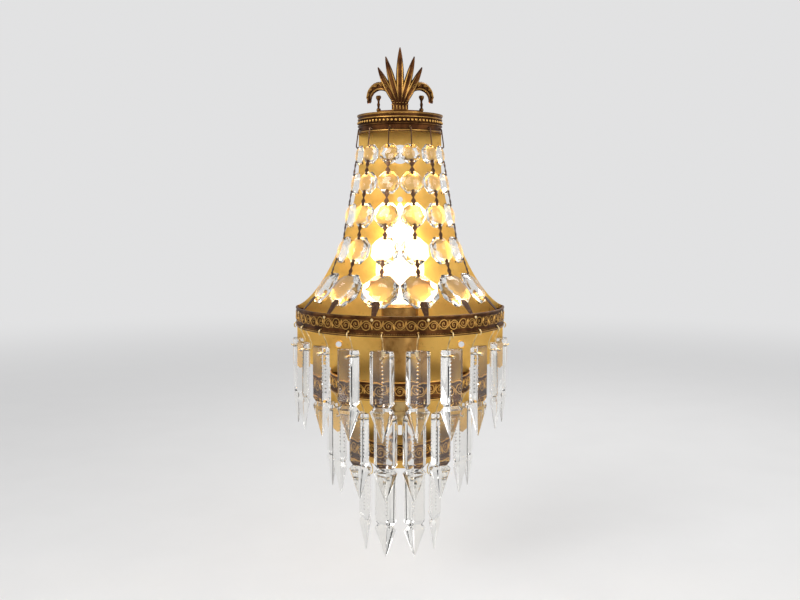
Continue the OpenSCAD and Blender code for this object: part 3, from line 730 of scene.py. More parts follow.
def strip(name, outline, depth):
    """A creased strip up the Z axis through stations of half width and height, in millimetres."""
    w, z = outline[0]
    bpy.ops.mesh.primitive_cube_add(
        size=1, location=(0, 0, (z - SLICE / 2) * MM), scale=(2 * w * MM, STRIP_T * MM, SLICE * MM)
    )
    made = start(name)
    pick("FACE", lambda f: f.normal.z > 0.9)
    for new_w, new_z in outline[1:]:
        pull((0, 0, (new_z - z) * MM), (new_w / w, 1, 1), (0, 0, new_z * MM))
        w, z = new_w, new_z
    wide = [height * MM for half, height in outline if half > 1]
    crease(-depth, lambda v: min(abs(v.co.z - height) for height in wide) < 0.02 * MM)
    bpy.ops.object.mode_set(mode="OBJECT")
    return clean(made)


def between(low, high):
    """The frame that stands on low, with Z towards high; both are (distance from the axis, height)."""
    lean = atan2(high[0] - low[0], high[1] - low[1])
    return Matrix.Translation((0, -low[0] * MM, low[1] * MM)) @ Matrix.Rotation(lean, 4, "X")


print("strips ready")

# %% Pins through the bores
PIN_R = 0.45
BACK_HEAD_R, BACK_HEAD_T = 0.9, 0.4
DOME_R, DOME_T, DOME_OUT = 0.6, 0.36, 0.42
STRIP_ROOM = 0.3


def bore_at(k, end):
    """The middle of bead k's upper (1) or lower (-1) bore: distance from the axis and height."""
    width, thick, out, height = BEAD_ROWS[k]
    up = end * (width / 2 - BORE_IN)
    return out - up * sin(leans[k]), height + up * cos(leans[k])


def face_at_bore(k):
    """How far bead k's face stands before its middle at the bore, with room for the strip."""
    width, thick = BEAD_ROWS[k][:2]
    across = 1 - 2 * (BORE_IN + BACK_HEAD_R) / width
    # From the table out to the girdle: shares of the half width and of the half thickness
    slope = [(TABLE, 1), (CROWN_CUT / FLAT, CROWN_AT), (1, GIRDLE)]
    (a, at_a), (b, at_b) = next(pair for pair in zip(slope, slope[1:]) if across <= pair[1][0])
    return thick / 2 * (at_a + (at_b - at_a) * (across - a) / (b - a)) + STRIP_ROOM


def bore_front(k, end):
    """The point on the strip's middle, in front of bead k's bore."""
    hole_out, hole_height = bore_at(k, end)
    ahead = face_at_bore(k) + STRIP_T / 2
    return hole_out + ahead * cos(leans[k]), hole_height + ahead * sin(leans[k])


def pin(k, end):
    """The pin through a bore, headed over at the back and domed on the strip in front."""
    face = face_at_bore(k)
    up = end * (BEAD_ROWS[k][0] / 2 - BORE_IN)
    shank = rod("pin", PIN_R, 2 * face + STRIP_T, (0, 0, up), sides=12)
    head = rod("head", BACK_HEAD_R, BACK_HEAD_T, (0, face + BACK_HEAD_T / 2, up), sides=16)
    dome = rod("dome", DOME_R, DOME_T, (0, -(face + DOME_OUT), up), sides=12)
    return place(joined("pin", [shank, soften(head, 0.15), soften(dome, 0.2)]), bead_at(k))


def bow_tie(k):
    """The clip from bead k to the bead under it, with its two pins."""
    high, low = bore_front(k, -1), bore_front(k + 1, 1)
    span = hypot(high[0] - low[0], high[1] - low[1])
    half = [(0.47, -0.9), (1.71, 0), (0.86, 0.6), (1.9, span / 4), (0.47, span / 2)]
    outline = half + [(w, span - z) for w, z in reversed(half[:-1])]
    made = place(strip("bow_tie", outline, 0.22), between(low, high))
    return joined("clip", [made, pin(k, -1), pin(k + 1, 1)])


print("room for the strips, mm:", [round(face_at_bore(k), 2) for k in range(len(BEAD_ROWS))])

# %% [markdown]
# ## Wire
#
# Wire is a curve with a round section. The curve runs through points that are worked out, its
# radius may change from point to point, and it is turned into a mesh at the end.


# %% Wires and arcs
def line_through(points):
    """A bare curve through points in metres."""
    bpy.ops.curve.primitive_nurbs_path_add()
    made = only(bpy.context.object)
    made.location = (0, 0, 0)
    made.data.splines.clear()
    spline = made.data.splines.new("POLY")
    spline.points.add(len(points) - 1)
    for point, co in zip(spline.points, points):
        point.co = (*co, 1)
    return made


def tube(name, points, radii, roundness=2):
    """A round wire through points in millimetres, with one radius or a radius at each point."""
    made = line_through([(x * MM, y * MM, z * MM) for x, y, z in points])
    made.name = name
    widths = radii if isinstance(radii, list) else [radii] * len(points)
    for point, width in zip(made.data.splines[0].points, widths):
        point.radius = width * MM
    made.data.dimensions = "3D"
    made.data.bevel_depth = 1
    made.data.bevel_resolution = roundness
    made.data.use_fill_caps = True
    bpy.ops.object.convert(target="MESH")
    return clean(bpy.context.object)


def arc(cx, cy, radius, first, last, steps):
    """Points of an arc, its angles in degrees."""
    turns = [radians(first + (last - first) * i / steps) for i in range(steps + 1)]
    return [(cx + radius * cos(turn), cy + radius * sin(turn)) for turn in turns]


print("wires ready")

# %% [markdown]
# ## End hooks, crown pins and rivets
#
# The lowest bead is held by a tapered hook that is riveted to the main ring, and the highest one
# by a wire that bends over the crown's edge hole and through the bead's bore. All metal of one
# strand is made in the plane x = 0 and then turned to the six places.

# %% The two ends of a strand
BEND = 1.2
# Radius, length and distance from the axis of the rivet's pin and of its head
RIVET, RIVET_HEAD = (PIN_R, 2.6, 76.8), (1.0, 0.6, 78.0)
last = len(BEAD_ROWS) - 1
hook_top = bore_front(last, -1)
hook_foot = (75.9, RING_PIN[1])
hook_span = hypot(hook_top[0] - hook_foot[0], hook_top[1] - hook_foot[1])
outline = [(0.6, -1.2), (1, -0.4), (1.3, 1.2), (3, hook_span - 1.6), (2, hook_span + 1.1)]
end_hook = place(strip("end_hook", outline, 0.3), between(hook_foot, hook_top))
ring_pin = rod("ring_pin", *RIVET[:2], (0, -RIVET[2], RING_PIN[1]), sides=12)
ring_head = rod("ring_head", *RIVET_HEAD[:2], (0, -RIVET_HEAD[2], RING_PIN[1]), sides=20)
rivet = joined("rivet", [ring_pin, soften(ring_head, 0.25)])
hole_out, hole_height = bore_at(0, 1)
pin_line = [(28.4, CROWN_PIN[1])] + arc(31, 16.3, BEND, 90, 0, 5)
pin_line += arc(hole_out + 2.1, hole_height + BEND, BEND, 0, -90, 5)
pin_line.append((hole_out - 3.1, hole_height))
crown_pin = tube("crown_pin", [(0, -r, z) for r, z in pin_line], PIN_R)
print("end hooks are", round(hook_span, 1), "mm long")

# %% Turn one strand's metal to the six places
metal = [bow_tie(k) for k in range(last)] + [pin(0, 1), pin(last, -1), end_hook, crown_pin]
strand_metal = smooth(joined("strand_metal", metal), 40)
smooth(rivet, 40)
for n, angle in enumerate(STRAND_ANGLES):
    here = AXIS_AT @ Matrix.Rotation(angle, 4, "Z")
    clips_here = copy_of(strand_metal, f"strand_clips_{n + 1}", here)
    fitted(clips_here, clip_brass, "dark_brass", "root", "strand_links")
    rivet_here = copy_of(rivet, f"strand_rivet_{n + 1}", here)
    fitted(rivet_here, wire_brass, "hook_brass", "root", "strand_links")
discard(strand_metal)
discard(rivet)
print("clips on each strand:", last)

# %% [markdown]
# ## The spear prism
#
# A spear is pressed with a flat front, narrow bevels and a sharp ridge at the back. The slab in
# the middle comes first; its front is pulled forward and narrowed, the slab is split down the
# middle and the ridge is pulled back. The top, the neck, the flared head and the point are then
# pulled from the end faces. Small notches across the ridge make the prism sparkle from the front.

# %% Press one spear
SPEAR_W, SPEAR_TOP, SPEAR_BODY = 16.5, -10, 36
TOP_BEVEL = 1.2
FRONT_SHARE = 0.68
# Where the front face, the two edges of the sides and the ridge stand, from the room to the wall
FRONT, SIDE_FRONT, SIDE_BACK, RIDGE = -3.2, -0.896, 0.276, 4.6
# Length down, new width and new share of the depth of the neck, the flared head and the point
SPEAR_ENDS = [(2.7, 11.7, 0.74), (3.1, 17, 0.98), (21.2, 0.85, 0.1)]
body_top, body_foot = SPEAR_TOP - TOP_BEVEL, SPEAR_TOP - SPEAR_BODY
bpy.ops.mesh.primitive_cube_add(
    size=1, location=(0, (SIDE_FRONT + SIDE_BACK) / 2 * MM, (body_top + body_foot) / 2 * MM),
    scale=(SPEAR_W * MM, (SIDE_BACK - SIDE_FRONT) * MM, (body_top - body_foot) * MM),
)
spear = start("spear")
pick("FACE", lambda f: f.normal.y < -0.9)
pull((0, (FRONT - SIDE_FRONT) * MM, 0), (FRONT_SHARE, 1, 1))
crease(RIDGE - SIDE_BACK, lambda v: v.co.y > 0)
pick("FACE", lambda f: f.normal.z > 0.9)
pull((0, 0, TOP_BEVEL * MM), (0.94, 0.88, 1), (0, 0, SPEAR_TOP * MM))
pick("FACE", lambda f: f.normal.z < -0.9)
w, share, z = SPEAR_W, 1, body_foot
for down, new_w, new_share in SPEAR_ENDS:
    z -= down
    pull((0, 0, -down * MM), (new_w / w, new_share / share, 1), (0, 0, z * MM))
    w, share = new_w, new_share
clean(spear)
print("spear, mm:", [round(v / MM, 2) for v in spear.dimensions])

# %% Notch, bevel and bore the spear
NOTCHES, NOTCH_R, NOTCH_FROM, NOTCH_STEP = 10, 0.75, 8.4, 2.6
SPEAR_BORE_R, SPEAR_BORE_DOWN = 1.15, 5
notches = [
    rod("notch", NOTCH_R, 12, (0, RIDGE + 0.1, SPEAR_TOP - NOTCH_FROM - NOTCH_STEP * i), "X", 4)
    for i in range(NOTCHES)
]
carve(spear, joined("notches", notches))
soften(spear, 0.16, segments=1, angle=12)
carve(spear, rod("bore", SPEAR_BORE_R, 20, (0, 0, SPEAR_TOP - SPEAR_BORE_DOWN)))
smooth(spear, 18)
print("spear has", len(spear.data.polygons), "faces")

# %% [markdown]
# ## The wire hooks
#
# Each prism hangs on a hook of brass wire: an eye that is open enough to be closed through the
# ring's hole, a slanting shank, and a tight bend that passes the prism's bore from behind. The
# ends of the wire are cut and slightly rounded. The hook is bent in the plane x = 0 with the
# ring's hole at the origin, and each prism's joint says where that origin goes.

# %% Bend one hook
# Along the wire: the eye, the shank, and the foot that turns under and up again
HOOK_R, CUT_END_R = 0.45, 0.3
eye = arc(0, 0, 2.2, -120, -410, 20)
shank = [(3.44, -5.5), (5.55, -10.4)]
foot = arc(4.25, -13.7, 1.3, 0, -90, 5) + arc(-3.27, -13.7, 1.3, -90, -170, 5)
hook_line = [(0, y, z) for y, z in eye + shank + foot]
hook_radii = [CUT_END_R] + [HOOK_R] * (len(hook_line) - 2) + [CUT_END_R]
hook = smooth(tube("hook", hook_line, hook_radii), 50)
print("hook has", len(hook.data.polygons), "faces")

# %% Hang all prisms
swings = [joint for joint in frame["joints"] if "swing" in joint["name"]]


def bearing(joint):
    """The turn about the rings' axis at which a prism hangs."""
    return atan2(-joint["axis"][1], -joint["axis"][0])


for joint in swings:
    tier, number = joint["name"].split("_swing_")
    at = Matrix.Translation(joint["pos_m"]) @ Matrix.Rotation(bearing(joint), 4, "Z")
    body = joint["child"]
    spear_here = copy_of(spear, f"{tier}_spear_{number}", at)
    fitted(spear_here, crystal, "crystal", body, f"{tier}_prism_{number}")
    hook_here = copy_of(hook, f"{tier}_wire_hook_{number}", at)
    fitted(hook_here, wire_brass, "hook_brass", body, f"{tier}_hook_{number}")
discard(spear)
discard(hook)
print("pendants hung:", len(swings))

# %% [markdown]
# ## Pressed ornament, made flat
#
# A stamper strikes the strip flat and bends it afterwards, and the ornament is made here in the
# same order. It lies on the table first: X along the strip, Y up the strip and Z out of it. A
# leaf starts as a narrow grid whose rows are lifted to ribs; its end is pulled along and widened
# or narrowed, and at last the sheet gets a flat back.

# %% Leaves
# Shares of a leaf's length, and its half width there: full in the middle, with a blunt tip
LEAF_SHAPE = [(i / 10, sin(pi * (0.16 + 0.82 * i / 10)) ** 0.72) for i in range(11)]


def leaf(name, length, half, ribs, shape):
    """A ribbed leaf along +X, with the shares of shape and the ribs' heights in millimetres."""
    rows = len(ribs) - 1
    share = shape[0][1]
    bpy.ops.mesh.primitive_grid_add(x_subdivisions=1, y_subdivisions=rows, size=1)
    made = start(name)
    bpy.ops.transform.resize(value=(0.02 * MM, 2 * half * MM, 1))
    for row, rib in enumerate(ribs):
        across = (2 * row / rows - 1) * half * MM
        pick("VERT", lambda v: abs(v.co.y - across) < 0.1 * half / rows * MM)
        bpy.ops.transform.translate(value=(0, 0, rib * MM))
    bpy.ops.mesh.select_all(action="SELECT")
    bpy.ops.transform.resize(value=(1, share, share ** 0.5), center_override=(0, 0, 0))
    pick("EDGE", lambda e: all(v.co.x > 0 for v in e.verts))
    at = 0
    for along, wide in shape[1:]:
        x = along * length * MM
        pull((x - at, 0, 0), (1, wide / share, (wide / share) ** 0.5), (x, 0, 0))
        at, share = x, wide
    bpy.ops.mesh.select_all(action="SELECT")
    pull((0, 0, -0.1 * MM), (1, 1, 0))
    bpy.ops.object.mode_set(mode="OBJECT")
    return smooth(clean(made), 30)


print("a leaf is widest at", max(LEAF_SHAPE, key=lambda station: station[1])[0], "of its length")


# %% Bosses, bars and places on the table
def boss(name, x, y, radius, squash=0.8, sides=12):
    """A low round boss on the table."""
    bpy.ops.mesh.primitive_uv_sphere_add(
        segments=sides, ring_count=sides // 2, radius=radius * MM, location=(x * MM, y * MM, 0)
    )
    made = start(name)
    bpy.ops.transform.resize(value=(1, 1, squash), center_override=(0, 0, 0))
    bpy.ops.object.mode_set(mode="OBJECT")
    return smooth(made, 60)


def bar(name, x0, x1, y0, y1, thick):
    """A bar with softened edges on the table."""
    bpy.ops.mesh.primitive_cube_add(
        size=1, location=((x0 + x1) / 2 * MM, (y0 + y1) / 2 * MM, thick / 2 * MM),
        scale=((x1 - x0) * MM, (y1 - y0) * MM, thick * MM),
    )
    return soften(start(name), 0.3)


def flat_at(x, y, lean=0, grow=1, flip=False):
    """A place on the table: moved, leaned, grown and mirrored in the strip's middle line."""
    mirror = Matrix.Diagonal((1, -1 if flip else 1, 1, 1))
    move = Matrix.Translation((x * MM, y * MM, 0))
    return mirror @ move @ Matrix.Rotation(lean, 4, "Z") @ Matrix.Scale(grow, 4)


print("ready to lay out flat work")


# %% Bend flat work along a line or round the axis
def bent(obj, points):
    """Bend an object so that its X axis runs along the points."""
    guide = line_through(points)
    guide.data.use_radius = False
    guide.data.twist_mode = "Z_UP"
    modify(obj, "CURVE", object=guide, deform_axis="POS_X")
    discard(guide)
    return obj


def wrapped(obj, radius, height):
    """Stand a flat piece up and bend it round the rings' axis, with its face outwards."""
    stand_up = Matrix.Translation((pi * radius / 2, 0, height)) @ Matrix.Rotation(radians(90), 4, "X")
    place(obj, stand_up)
    turns = [radians(180 + step) for step in range(181)]
    bent(obj, [(radius * cos(turn), radius * sin(turn) - PLATE_T, 0) for turn in turns])
    bpy.ops.object.mode_set(mode="EDIT")
    bpy.ops.mesh.select_all(action="SELECT")
    bpy.ops.mesh.bisect(
        plane_co=(0, -PLATE_T, 0), plane_no=(0, 1, 0), clear_outer=True, use_fill=True
    )
    return clean(obj, False)


def hoop(name, radius, wire, centre, upright=True, around=40, across=12):
    """A round hoop that faces the room or lies flat; its two radii are in millimetres."""
    bpy.ops.mesh.primitive_torus_add(
        major_radius=radius * MM, minor_radius=wire * MM, major_segments=around,
        minor_segments=across, location=centre, rotation=(radians(90) if upright else 0, 0, 0),
    )
    return smooth(start(name), 60)


print("ready to bend")

# %% [markdown]
# ## The running scroll on the rings
#
# Half a wave is made once: a stem that climbs from its trough to its crest, a volute that leaves
# the stem halfway up, sweeps round under the crest and winds in to an eye, and three leaves that
# fill the corners. The next half is the same in mirror image. As many of them as fit go on each
# strip, with a row of pearls along the foot and a rim round each hole that carries a hook. The
# pearls stop short of the holes.

# %% Half a wave
WAVE, SWING = 7.66, 2.8
EYE_Y = -0.5
STEM_R, STEM_STEPS = 0.46, 8
CURL_FROM, CURL_SWEEP, CURL_STEPS = 178, 470, 24
CURL_REACH, CURL_IN = 3.4, 2.5
curl = []
for i in range(CURL_STEPS + 1):
    turn = radians(CURL_FROM + CURL_SWEEP * i / CURL_STEPS)
    reach = CURL_REACH - CURL_IN * i / CURL_STEPS
    curl.append((WAVE + reach * cos(turn), EYE_Y + reach * sin(turn), 0.1))
volute = tube("volute", curl, [STEM_R - 0.006 * i for i in range(CURL_STEPS + 1)], 1)
stem = [
    (WAVE * i / STEM_STEPS, -SWING * cos(pi * i / STEM_STEPS), 0.08) for i in range(STEM_STEPS + 1)
]
wave_parts = [
    smooth(tube("stem", stem, STEM_R, 1), 50),
    smooth(volute, 50),
    boss("eye", WAVE, EYE_Y, 0.6, 0.95),
]
fill_leaf = leaf("fill_leaf", 3.3, 0.85, [0, 0.6, 0.35, 0.6, 0], LEAF_SHAPE[::2])
# Share of the half wave, height, lean in degrees and size of each leaf
for x, y, lean, size in [(0.46, -0.2, 78, 1.1), (0.38, -0.8, 112, 0.9), (0.34, -1.5, -55, 0.6)]:
    wave_parts.append(copy_of(fill_leaf, "fill", flat_at(WAVE * x, y, radians(lean), size)))
discard(fill_leaf)
half_wave = joined("half_wave", wave_parts)
pearl = boss("pearl", 0, 0, 0.4, 1.0, 8)
print("half a wave has", len(half_wave.data.polygons), "faces")

# %% Strike the strips and bend them
MIDDLE_LINE, PEARL_LINE, HOLE_LINE = 8.05, 2.1, 3
PEARL_STEP, PEARL_GAP = 1.15, 1.4
RIM_R, RIM_WIRE = 1.12, 0.24


def ring_relief(ring, radius, low, halves, tier):
    """The scroll, the pearls and the hole rims of one ring, as one piece."""
    length = pi * radius / MM
    stretched = Matrix.Diagonal((length / halves / WAVE, 1, 1, 1))
    turns = [bearing(joint) for joint in swings if joint["name"].startswith(tier)]
    parts = []
    for i in range(halves):
        shift = Matrix.Translation(((i * length / halves - length / 2) * MM, MIDDLE_LINE * MM, 0))
        parts.append(copy_of(half_wave, "wave", shift @ flat_at(0, 0, flip=i % 2) @ stretched))
    pearls = round(length / PEARL_STEP)
    spots = [((i + 0.5) / pearls - 0.5) * length * MM for i in range(pearls)]
    spots = [x for x in spots if min(abs(x - radius * turn) for turn in turns) > PEARL_GAP * MM]
    for x in spots:
        parts.append(copy_of(pearl, "pearl", Matrix.Translation((x, PEARL_LINE * MM, 0))))
    relief = wrapped(joined("relief", parts), radius, low)
    rims = []
    for turn in turns:
        rim = hoop("rim", RIM_R, RIM_WIRE, (0, -radius, low + HOLE_LINE * MM), around=20, across=8)
        rims.append(place(rim, AXIS_AT @ Matrix.Rotation(turn, 4, "Z")))
    print(ring, "ring:", halves, "half waves,", len(spots), "pearls and", len(rims), "rims")
    return clean(joined(f"{ring}_ring_relief", [relief, *rims]))


RINGS = [
    ("main", main_r, main_low, 32, "upper", main_brass),
    ("middle", middle_r, middle_low, 22, "middle", middle_brass),
    ("lower", lower_r, lower_low, 12, "lower", lower_brass),
]
for *ring, finish in RINGS:
    fitted(ring_relief(*ring), finish, "aged_brass", "root")
discard(half_wave)
discard(pearl)

# %% [markdown]
# ## The palmette on the crown
#
# The crest is a pierced palmette: five channelled leaves that fan out of a beaded collar, an
# acanthus branch that arches over and droops on each side, and a bell flower that stands under
# each arch on a low rail. It is made flat like the strips and then bent round the crown. The
# right half is made and copied in mirror image.

# %% Leaves of the palmette
CREST_R = 29.6 * MM
CREST_RIBS = [0.55, 1.5, 1.35, 0.85, 0.95, 0.85, 1.35, 1.5, 0.55]


def on_crest(x, h):
    """The solid's crest was drawn straight on; this gives the same point along the bend."""
    return CREST_R / MM * asin(x * MM / CREST_R), h


def crest_leaf(foot, tip, width):
    """A leaf between two points of the straight drawing."""
    (x, h), (tip_x, tip_h) = on_crest(*foot), on_crest(*tip)
    blade = leaf("leaf", hypot(tip_x - x, tip_h - h), width / 2, CREST_RIBS, LEAF_SHAPE)
    return place(blade, flat_at(x, h, atan2(tip_h - h, tip_x - x)))


centre_leaf = crest_leaf((0, 5.6), (0, 44), 5.6)
right = [crest_leaf((1.4, 6.1), (10, 38), 5.2), crest_leaf((2.8, 5.4), (15.4, 31), 5.2)]
print("centre leaf, mm:", [round(v / MM, 1) for v in centre_leaf.dimensions])

# %% The acanthus branch
ARCH_X, ARCH_H, ARCH_R = 14.1, 10.4, 7.5
ARCH_FOOT = [on_crest(4.9, 6.6), on_crest(5.7, 9.2)]
ARCH_SHAPE = [
    (0, 0.34), (0.1, 0.42), (0.25, 0.66), (0.42, 0.93),
    (0.6, 1), (0.8, 0.92), (0.92, 0.68), (1, 0.28),
]
ARCH_RIBS = [0.5, 1.5, 1.2, 0.7, 0.7, 1.2, 1.6, 0.5]
LOBE_LEAN = 66


def on_arch(angle):
    """A point of the arch, its angle in degrees."""
    turn = radians(angle)
    return on_crest(ARCH_X + ARCH_R * cos(turn), ARCH_H + ARCH_R * sin(turn))


arch = [(x * MM, h * MM, 0) for x, h in ARCH_FOOT + [on_arch(a) for a in range(162, -31, -8)]]
reach = sum(hypot(b[0] - a[0], b[1] - a[1]) for a, b in zip(arch, arch[1:])) / MM
branch = leaf("branch", reach - 0.4, 3.2, ARCH_RIBS, ARCH_SHAPE)
modify(branch, "SUBSURF", subdivision_type="SIMPLE", levels=2, render_levels=2)
right.append(smooth(bent(branch, arch), 30))
for angle, size in [(140, 0.8), (108, 0.95), (78, 1), (50, 1), (24, 0.95), (0, 0.8)]:
    lobe = leaf("lobe", 5.2, 1.35, [0.5, 1.75, 1.3, 1.75, 0.5], LEAF_SHAPE)
    right.append(place(lobe, flat_at(*on_arch(angle), radians(angle - LOBE_LEAN), size)))
print("branch of", round(reach, 1), "mm")

# %% The bell flower and its rail
flower_x = on_crest(15.1, 0)[0]
BELL_SHAPE = [
    (0, 0.7), (0.08, 1), (0.2, 0.92), (0.34, 0.55), (0.46, 0.24),
    (0.56, 0.4), (0.7, 0.55), (0.85, 0.4), (1, 0.3),
]
bell = leaf("bell", 9.2, 2.1, [0.4, 1.3, 0.9, 1.45, 0.9, 1.3, 0.4], BELL_SHAPE)
right.append(place(bell, flat_at(flower_x, 11.4, radians(-90))))
right.append(boss("bell_foot", flower_x, 1.4, 1.7))
right.append(boss("bell_knot", flower_x, 7.2, 0.7, 1.7))
right.append(bar("rail", 4.5, flower_x, -0.6, 1.1, 1.0))
half_crest = joined("half_crest", right)
print(len(half_crest.data.polygons), "faces in half a crest")

# %% Finish the crest and bend it round the crown
other_half = clean(copy_of(half_crest, "other_half", Matrix.Diagonal((-1, 1, 1, 1))))
collar = [bar("collar", -5.7, 5.7, -0.6, 7.6, 1.0)]
collar += [bar("moulding", -5.9, 5.9, h - 0.35, h + 0.35, 1.5) for h in (0.9, 4.6, 7.3)]
collar += [boss("collar_pearl", on_crest(x, 0)[0], 5.95, 0.75, 2.0) for x in (-4, -2, 0, 2, 4)]
collar += [bar("flute", x - 0.45, x + 0.45, 1.2, 4.3, 1.35) for x in (-4.2, -2.1, 0, 2.1, 4.2)]
flat_crest = joined("flat_crest", [centre_leaf, half_crest, other_half, *collar])
crest = smooth(wrapped(flat_crest, CREST_R, crown_high), 30)
crest.name = "palmette"
fitted(crest, crest_brass, "aged_brass", "root", "palmette_crest")
print("crest, mm:", [round(v / MM, 1) for v in crest.dimensions])

# %% [markdown]
# ## The burning bulb
#
# Through the beads only a glare shows, but from above the lamp is open, so the bulb is built in
# full: a thin glass envelope with an inner wall, a glass stem that carries two support wires, and
# a filament that is wound up and down between them. The bulb's glass itself gives off a little
# warm light, as a lit bulb does.

# %% Blow the envelope
LAMP_Y = -23.8
LAMP_AT = Matrix.Translation((0, LAMP_Y * MM, 0))
GLASS_FOOT, GLASS_NECK, GLASS_TIP = -114.4, -109.8, -35
GLASS_WALL, GLASS_STEPS = 0.8, 40
NECK_R, BELLY_R, BELLY_AT = 6, 17.5, 0.32


def turned(name, profile, sides, open_foot=False):
    """A round piece: a circle pulled up from station to station, as (radius, height) in mm."""
    rows = [(r * MM, z * MM) for r, z in profile]
    r, z = rows[0]
    bpy.ops.mesh.primitive_circle_add(
        vertices=sides, radius=r, location=(0, 0, z), fill_type="NOTHING" if open_foot else "NGON"
    )
    made = start(name)
    bpy.ops.mesh.select_mode(type="EDGE" if open_foot else "FACE")
    bpy.ops.mesh.select_all(action="SELECT")
    for new_r, new_z in rows[1:]:
        share = new_r / r
        pull((0, 0, new_z - z), (share, share, 1), (0, 0, new_z))
        r, z = new_r, new_z
    if open_foot:
        bpy.ops.mesh.edge_face_add()
    bpy.ops.object.mode_set(mode="OBJECT")
    return clean(made)


def bulge(share):
    """Radius of the envelope at a share of its height, in millimetres."""
    if share < BELLY_AT:
        return NECK_R + (BELLY_R - NECK_R) * sin(radians(90 * share / BELLY_AT)) ** 1.6
    return BELLY_R * max(cos(radians(90 * (share - BELLY_AT) / (1 - BELLY_AT))), 0) ** 0.92


def envelope(name, inset):
    """The glass from its neck to its tip, smaller by the inset all round."""
    rows = [(NECK_R - inset, GLASS_FOOT)]
    for share in [i / GLASS_STEPS for i in range(GLASS_STEPS)] + [0.985, 0.993, 0.998]:
        radius = bulge(share) - inset
        lower = inset if share > 0.9 else 0
        if radius > 0.5:
            rows.append((radius, GLASS_NECK + (GLASS_TIP - GLASS_NECK) * share - lower))
    return turned(name, rows, 48, open_foot=True)


glass = joined("bulb_envelope", [envelope("outside", 0), envelope("inside", GLASS_WALL)])
bpy.ops.object.mode_set(mode="EDIT")
pick("EDGE", lambda e: e.is_boundary)
bpy.ops.mesh.bridge_edge_loops()
bpy.ops.mesh.select_all(action="SELECT")
bpy.ops.mesh.normals_make_consistent(inside=False)
bpy.ops.object.mode_set(mode="OBJECT")
fitted(smooth(place(glass, LAMP_AT), 60), bulb_glass, "bulb_glass", "bulb", "bulb_glass")
print("envelope:", len(glass.data.polygons), "faces")

# %% Stem and supports
STEM_ROWS = [
    (5.0, -114), (5.0, -112.5), (4.2, -111), (2.6, -109),
    (1.9, -107), (1.7, -103), (2.3, -101.6), (1.4, -100.2),
]
SUPPORT = [(1.0, -102), (1.4, -99), (5.2, -94), (5.4, -78), (4.6, -76.6)]
SUPPORT_R = 0.22
glass_stem = smooth(place(turned("bulb_stem", STEM_ROWS, 24), LAMP_AT), 50)
fitted(glass_stem, bulb_glass, "bulb_glass", "bulb")
wires = [tube("wire", [(side * x, 0, z) for x, z in SUPPORT], SUPPORT_R, 1) for side in (-1, 1)]
supports = place(joined("bulb_supports", wires), LAMP_AT)
fitted(supports, wire_brass, "hook_brass", "bulb")
print("inside the bulb:", glass_stem.name, "and", supports.name)

# %% Filament
FILAMENT_R, FILAMENT_STEPS, FILAMENT_Z = 0.14, 96, -86
HALF_WIDE, HALF_DEEP, HALF_TALL = 5.2, 1.1, 8.5
TURNS_DEEP, TURNS_TALL = 12, 3


def filament_finish():
    f = Finish("glowing_filament")
    heat = f.step(f.noise(400, 2), 0.2, 0.8)
    shader = f.principled(
        Base_Color=(0.35, 0.3, 0.25, 1), Roughness=0.5,
        Emission_Color=f.colours(heat, (1.0, 0.62, 0.22), (1.0, 0.80, 0.45)),
        Emission_Strength=22.0,
    )
    return f.done(shader)


wound = []
for i in range(FILAMENT_STEPS + 1):
    share = i / FILAMENT_STEPS
    across = HALF_WIDE * cos(pi * share)
    ahead = HALF_DEEP * sin(2 * pi * TURNS_DEEP * share)
    wound.append((across, ahead, FILAMENT_Z + HALF_TALL * cos(2 * pi * TURNS_TALL * share)))
filament = place(tube("bulb_filament", wound, FILAMENT_R, 1), LAMP_AT)
fitted(filament, filament_finish(), "bulb_glass", "bulb")
print("filament, mm:", [round(v / MM, 1) for v in filament.dimensions])

# %% [markdown]
# ## Edges that catch the light
#
# The two side screw holes of the plate are punched with a raised rim, and the candle sleeve has a
# rolled edge at both ends. All of them are small, but they are the bright lines in the photograph.

# %% Rims and rolled edges
SIDE_HOLE_X, SIDE_HOLE_Z = 46.4 * MM, -142 * MM
rims = [
    hoop("rim", 2.75, 0.5, (side * SIDE_HOLE_X, -PLATE_T, SIDE_HOLE_Z)) for side in (-1, 1)
]
fitted(joined("plate_hole_rims", rims), plate_brass, "bright_brass", "root")
sleeve_low, sleeve_high = (corner.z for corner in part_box("candle_sleeve"))
rolls = [
    hoop("roll", 13.5, 0.6, (0, LAMP_Y * MM, height), upright=False, around=64)
    for height in (sleeve_low + 0.5 * MM, sleeve_high - 0.5 * MM)
]
fitted(joined("sleeve_rolled_edges", rolls), sleeve_brass, "aged_brass", "root")
print("rims and rolls:", len(rims) + len(rolls))

# %% [markdown]
# ## The room
#
# The lamp hangs in front of nothing, so that it can be looked at from all sides. A pale floor lies
# under it and keeps its shadow; far away it fades into the pale backdrop, so no horizon cuts
# through the crystals. The backdrop is only what camera, mirror and glass rays see of the world:
# the light that reaches the lamp is plain and soft.

# %% Floor
FLOOR_Z = -0.345
FADE_FROM, FADE_TO = 0.2, 2.2
BACKDROP = (0.76, 0.76, 0.765, 1)


def floor_finish():
    """Pale paint near the lamp, and the backdrop's own colour far away."""
    f = Finish("pale_floor")
    colour = f.colours(f.noise(14, 3), (0.74, 0.73, 0.72), (0.78, 0.77, 0.76))
    painted = f.principled(Base_Color=colour, Roughness=0.85)
    haze = f.node("ShaderNodeEmission", {}, {"Color": BACKDROP, "Strength": 1.0})
    away = (f.part_of("X") ** 2 + f.part_of("Y") ** 2) ** 0.5
    fade = f.step(away, FADE_FROM, FADE_TO) * f.looked_at()
    return f.done(f.mixed(fade, painted, haze))


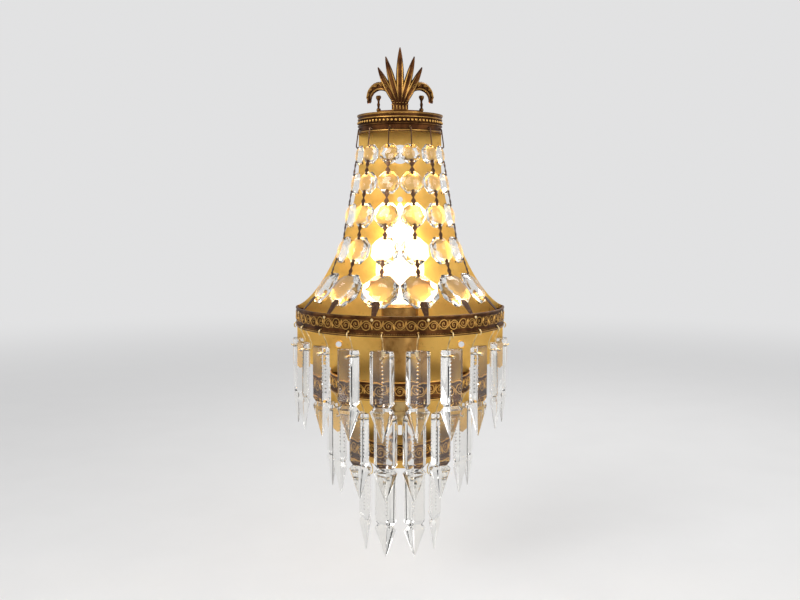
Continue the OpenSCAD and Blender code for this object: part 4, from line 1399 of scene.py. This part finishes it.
bpy.ops.mesh.primitive_plane_add(size=40, location=(0, 0, FLOOR_Z))
floor = start("floor")
bpy.ops.mesh.subdivide(number_cuts=4)
bpy.ops.object.mode_set(mode="OBJECT")
floor.data.materials.append(floor_finish())
print("floor at", FLOOR_Z, "m")

# %% World
world = bpy.data.worlds.new("studio")
world.use_nodes = True
bpy.context.scene.world = world
sky = Nodes(world.node_tree)
daylight = {"Color": (0.95, 0.97, 1.0, 1), "Strength": 0.42}
ambient = sky.node("ShaderNodeBackground", {}, daylight)
backdrop = sky.node("ShaderNodeBackground", {}, {"Color": BACKDROP, "Strength": 1.0})
sky.surface(sky.mixed(sky.looked_at(), ambient, backdrop), "ShaderNodeOutputWorld")
print("world:", world.name)

# %% [markdown]
# ## The lamps
#
# Three soft boxes light the brass from both sides and from behind. The burning bulb is a small
# warm point light in the envelope. The camera and the crystals don't see it, because the glass
# already glows, but the metal does, and that gives the plate its bright middle.

# %% Lamps
LAMP_MIDDLE = Vector((0, -0.03, -0.10))
CANDLE_AT = (0, -PLATE_T - 23 * MM, -90 * MM)


def soft_box(name, spot, size, watts):
    """A square soft box that points at the middle of the wall lamp."""
    bpy.ops.object.light_add(type="AREA", location=spot)
    lamp = bpy.context.object
    lamp.name = name
    lamp.data.size = size
    lamp.data.energy = watts
    aim = LAMP_MIDDLE - Vector(spot)
    lamp.rotation_euler = aim.to_track_quat("-Z", "Y").to_euler()


soft_box("key", (-0.75, -0.95, 0.65), 0.7, 11)
soft_box("fill", (0.95, -0.85, 0.15), 0.8, 6)
soft_box("rim", (0.35, 0.7, 0.75), 0.6, 7)
bpy.ops.object.light_add(type="POINT", location=CANDLE_AT)
candle = bpy.context.object
candle.name = "candle_light"
candle.data.energy = 0.32
candle.data.color = (1.0, 0.86, 0.62)
candle.data.shadow_soft_size = 14 * MM
candle.visible_camera = False
candle.visible_transmission = False

# %% [markdown]
# ## The camera
#
# The photograph was taken from a little below the hanging hole, at about two thirds of a metre
# from the wall, looking slightly down. The lens is worked out from the focal length of 880 pixels
# on a frame 800 pixels wide.

# %% Camera
FOCAL_PX, FRAME_PX, SENSOR_MM = 880, 800, 36
CAMERA_AT, LOOKS_DOWN = (0, -0.660, -0.0465), 5.36
bpy.ops.object.camera_add(location=CAMERA_AT, rotation=(radians(90 - LOOKS_DOWN), 0, 0))
camera = bpy.context.object
camera.data.sensor_width = SENSOR_MM
camera.data.lens = FOCAL_PX * SENSOR_MM / FRAME_PX
camera.data.clip_start = 0.01
bpy.context.scene.camera = camera
bpy.context.scene.view_settings.view_transform = "Standard"
print("lens:", round(camera.data.lens, 2), "mm")

# %% [markdown]
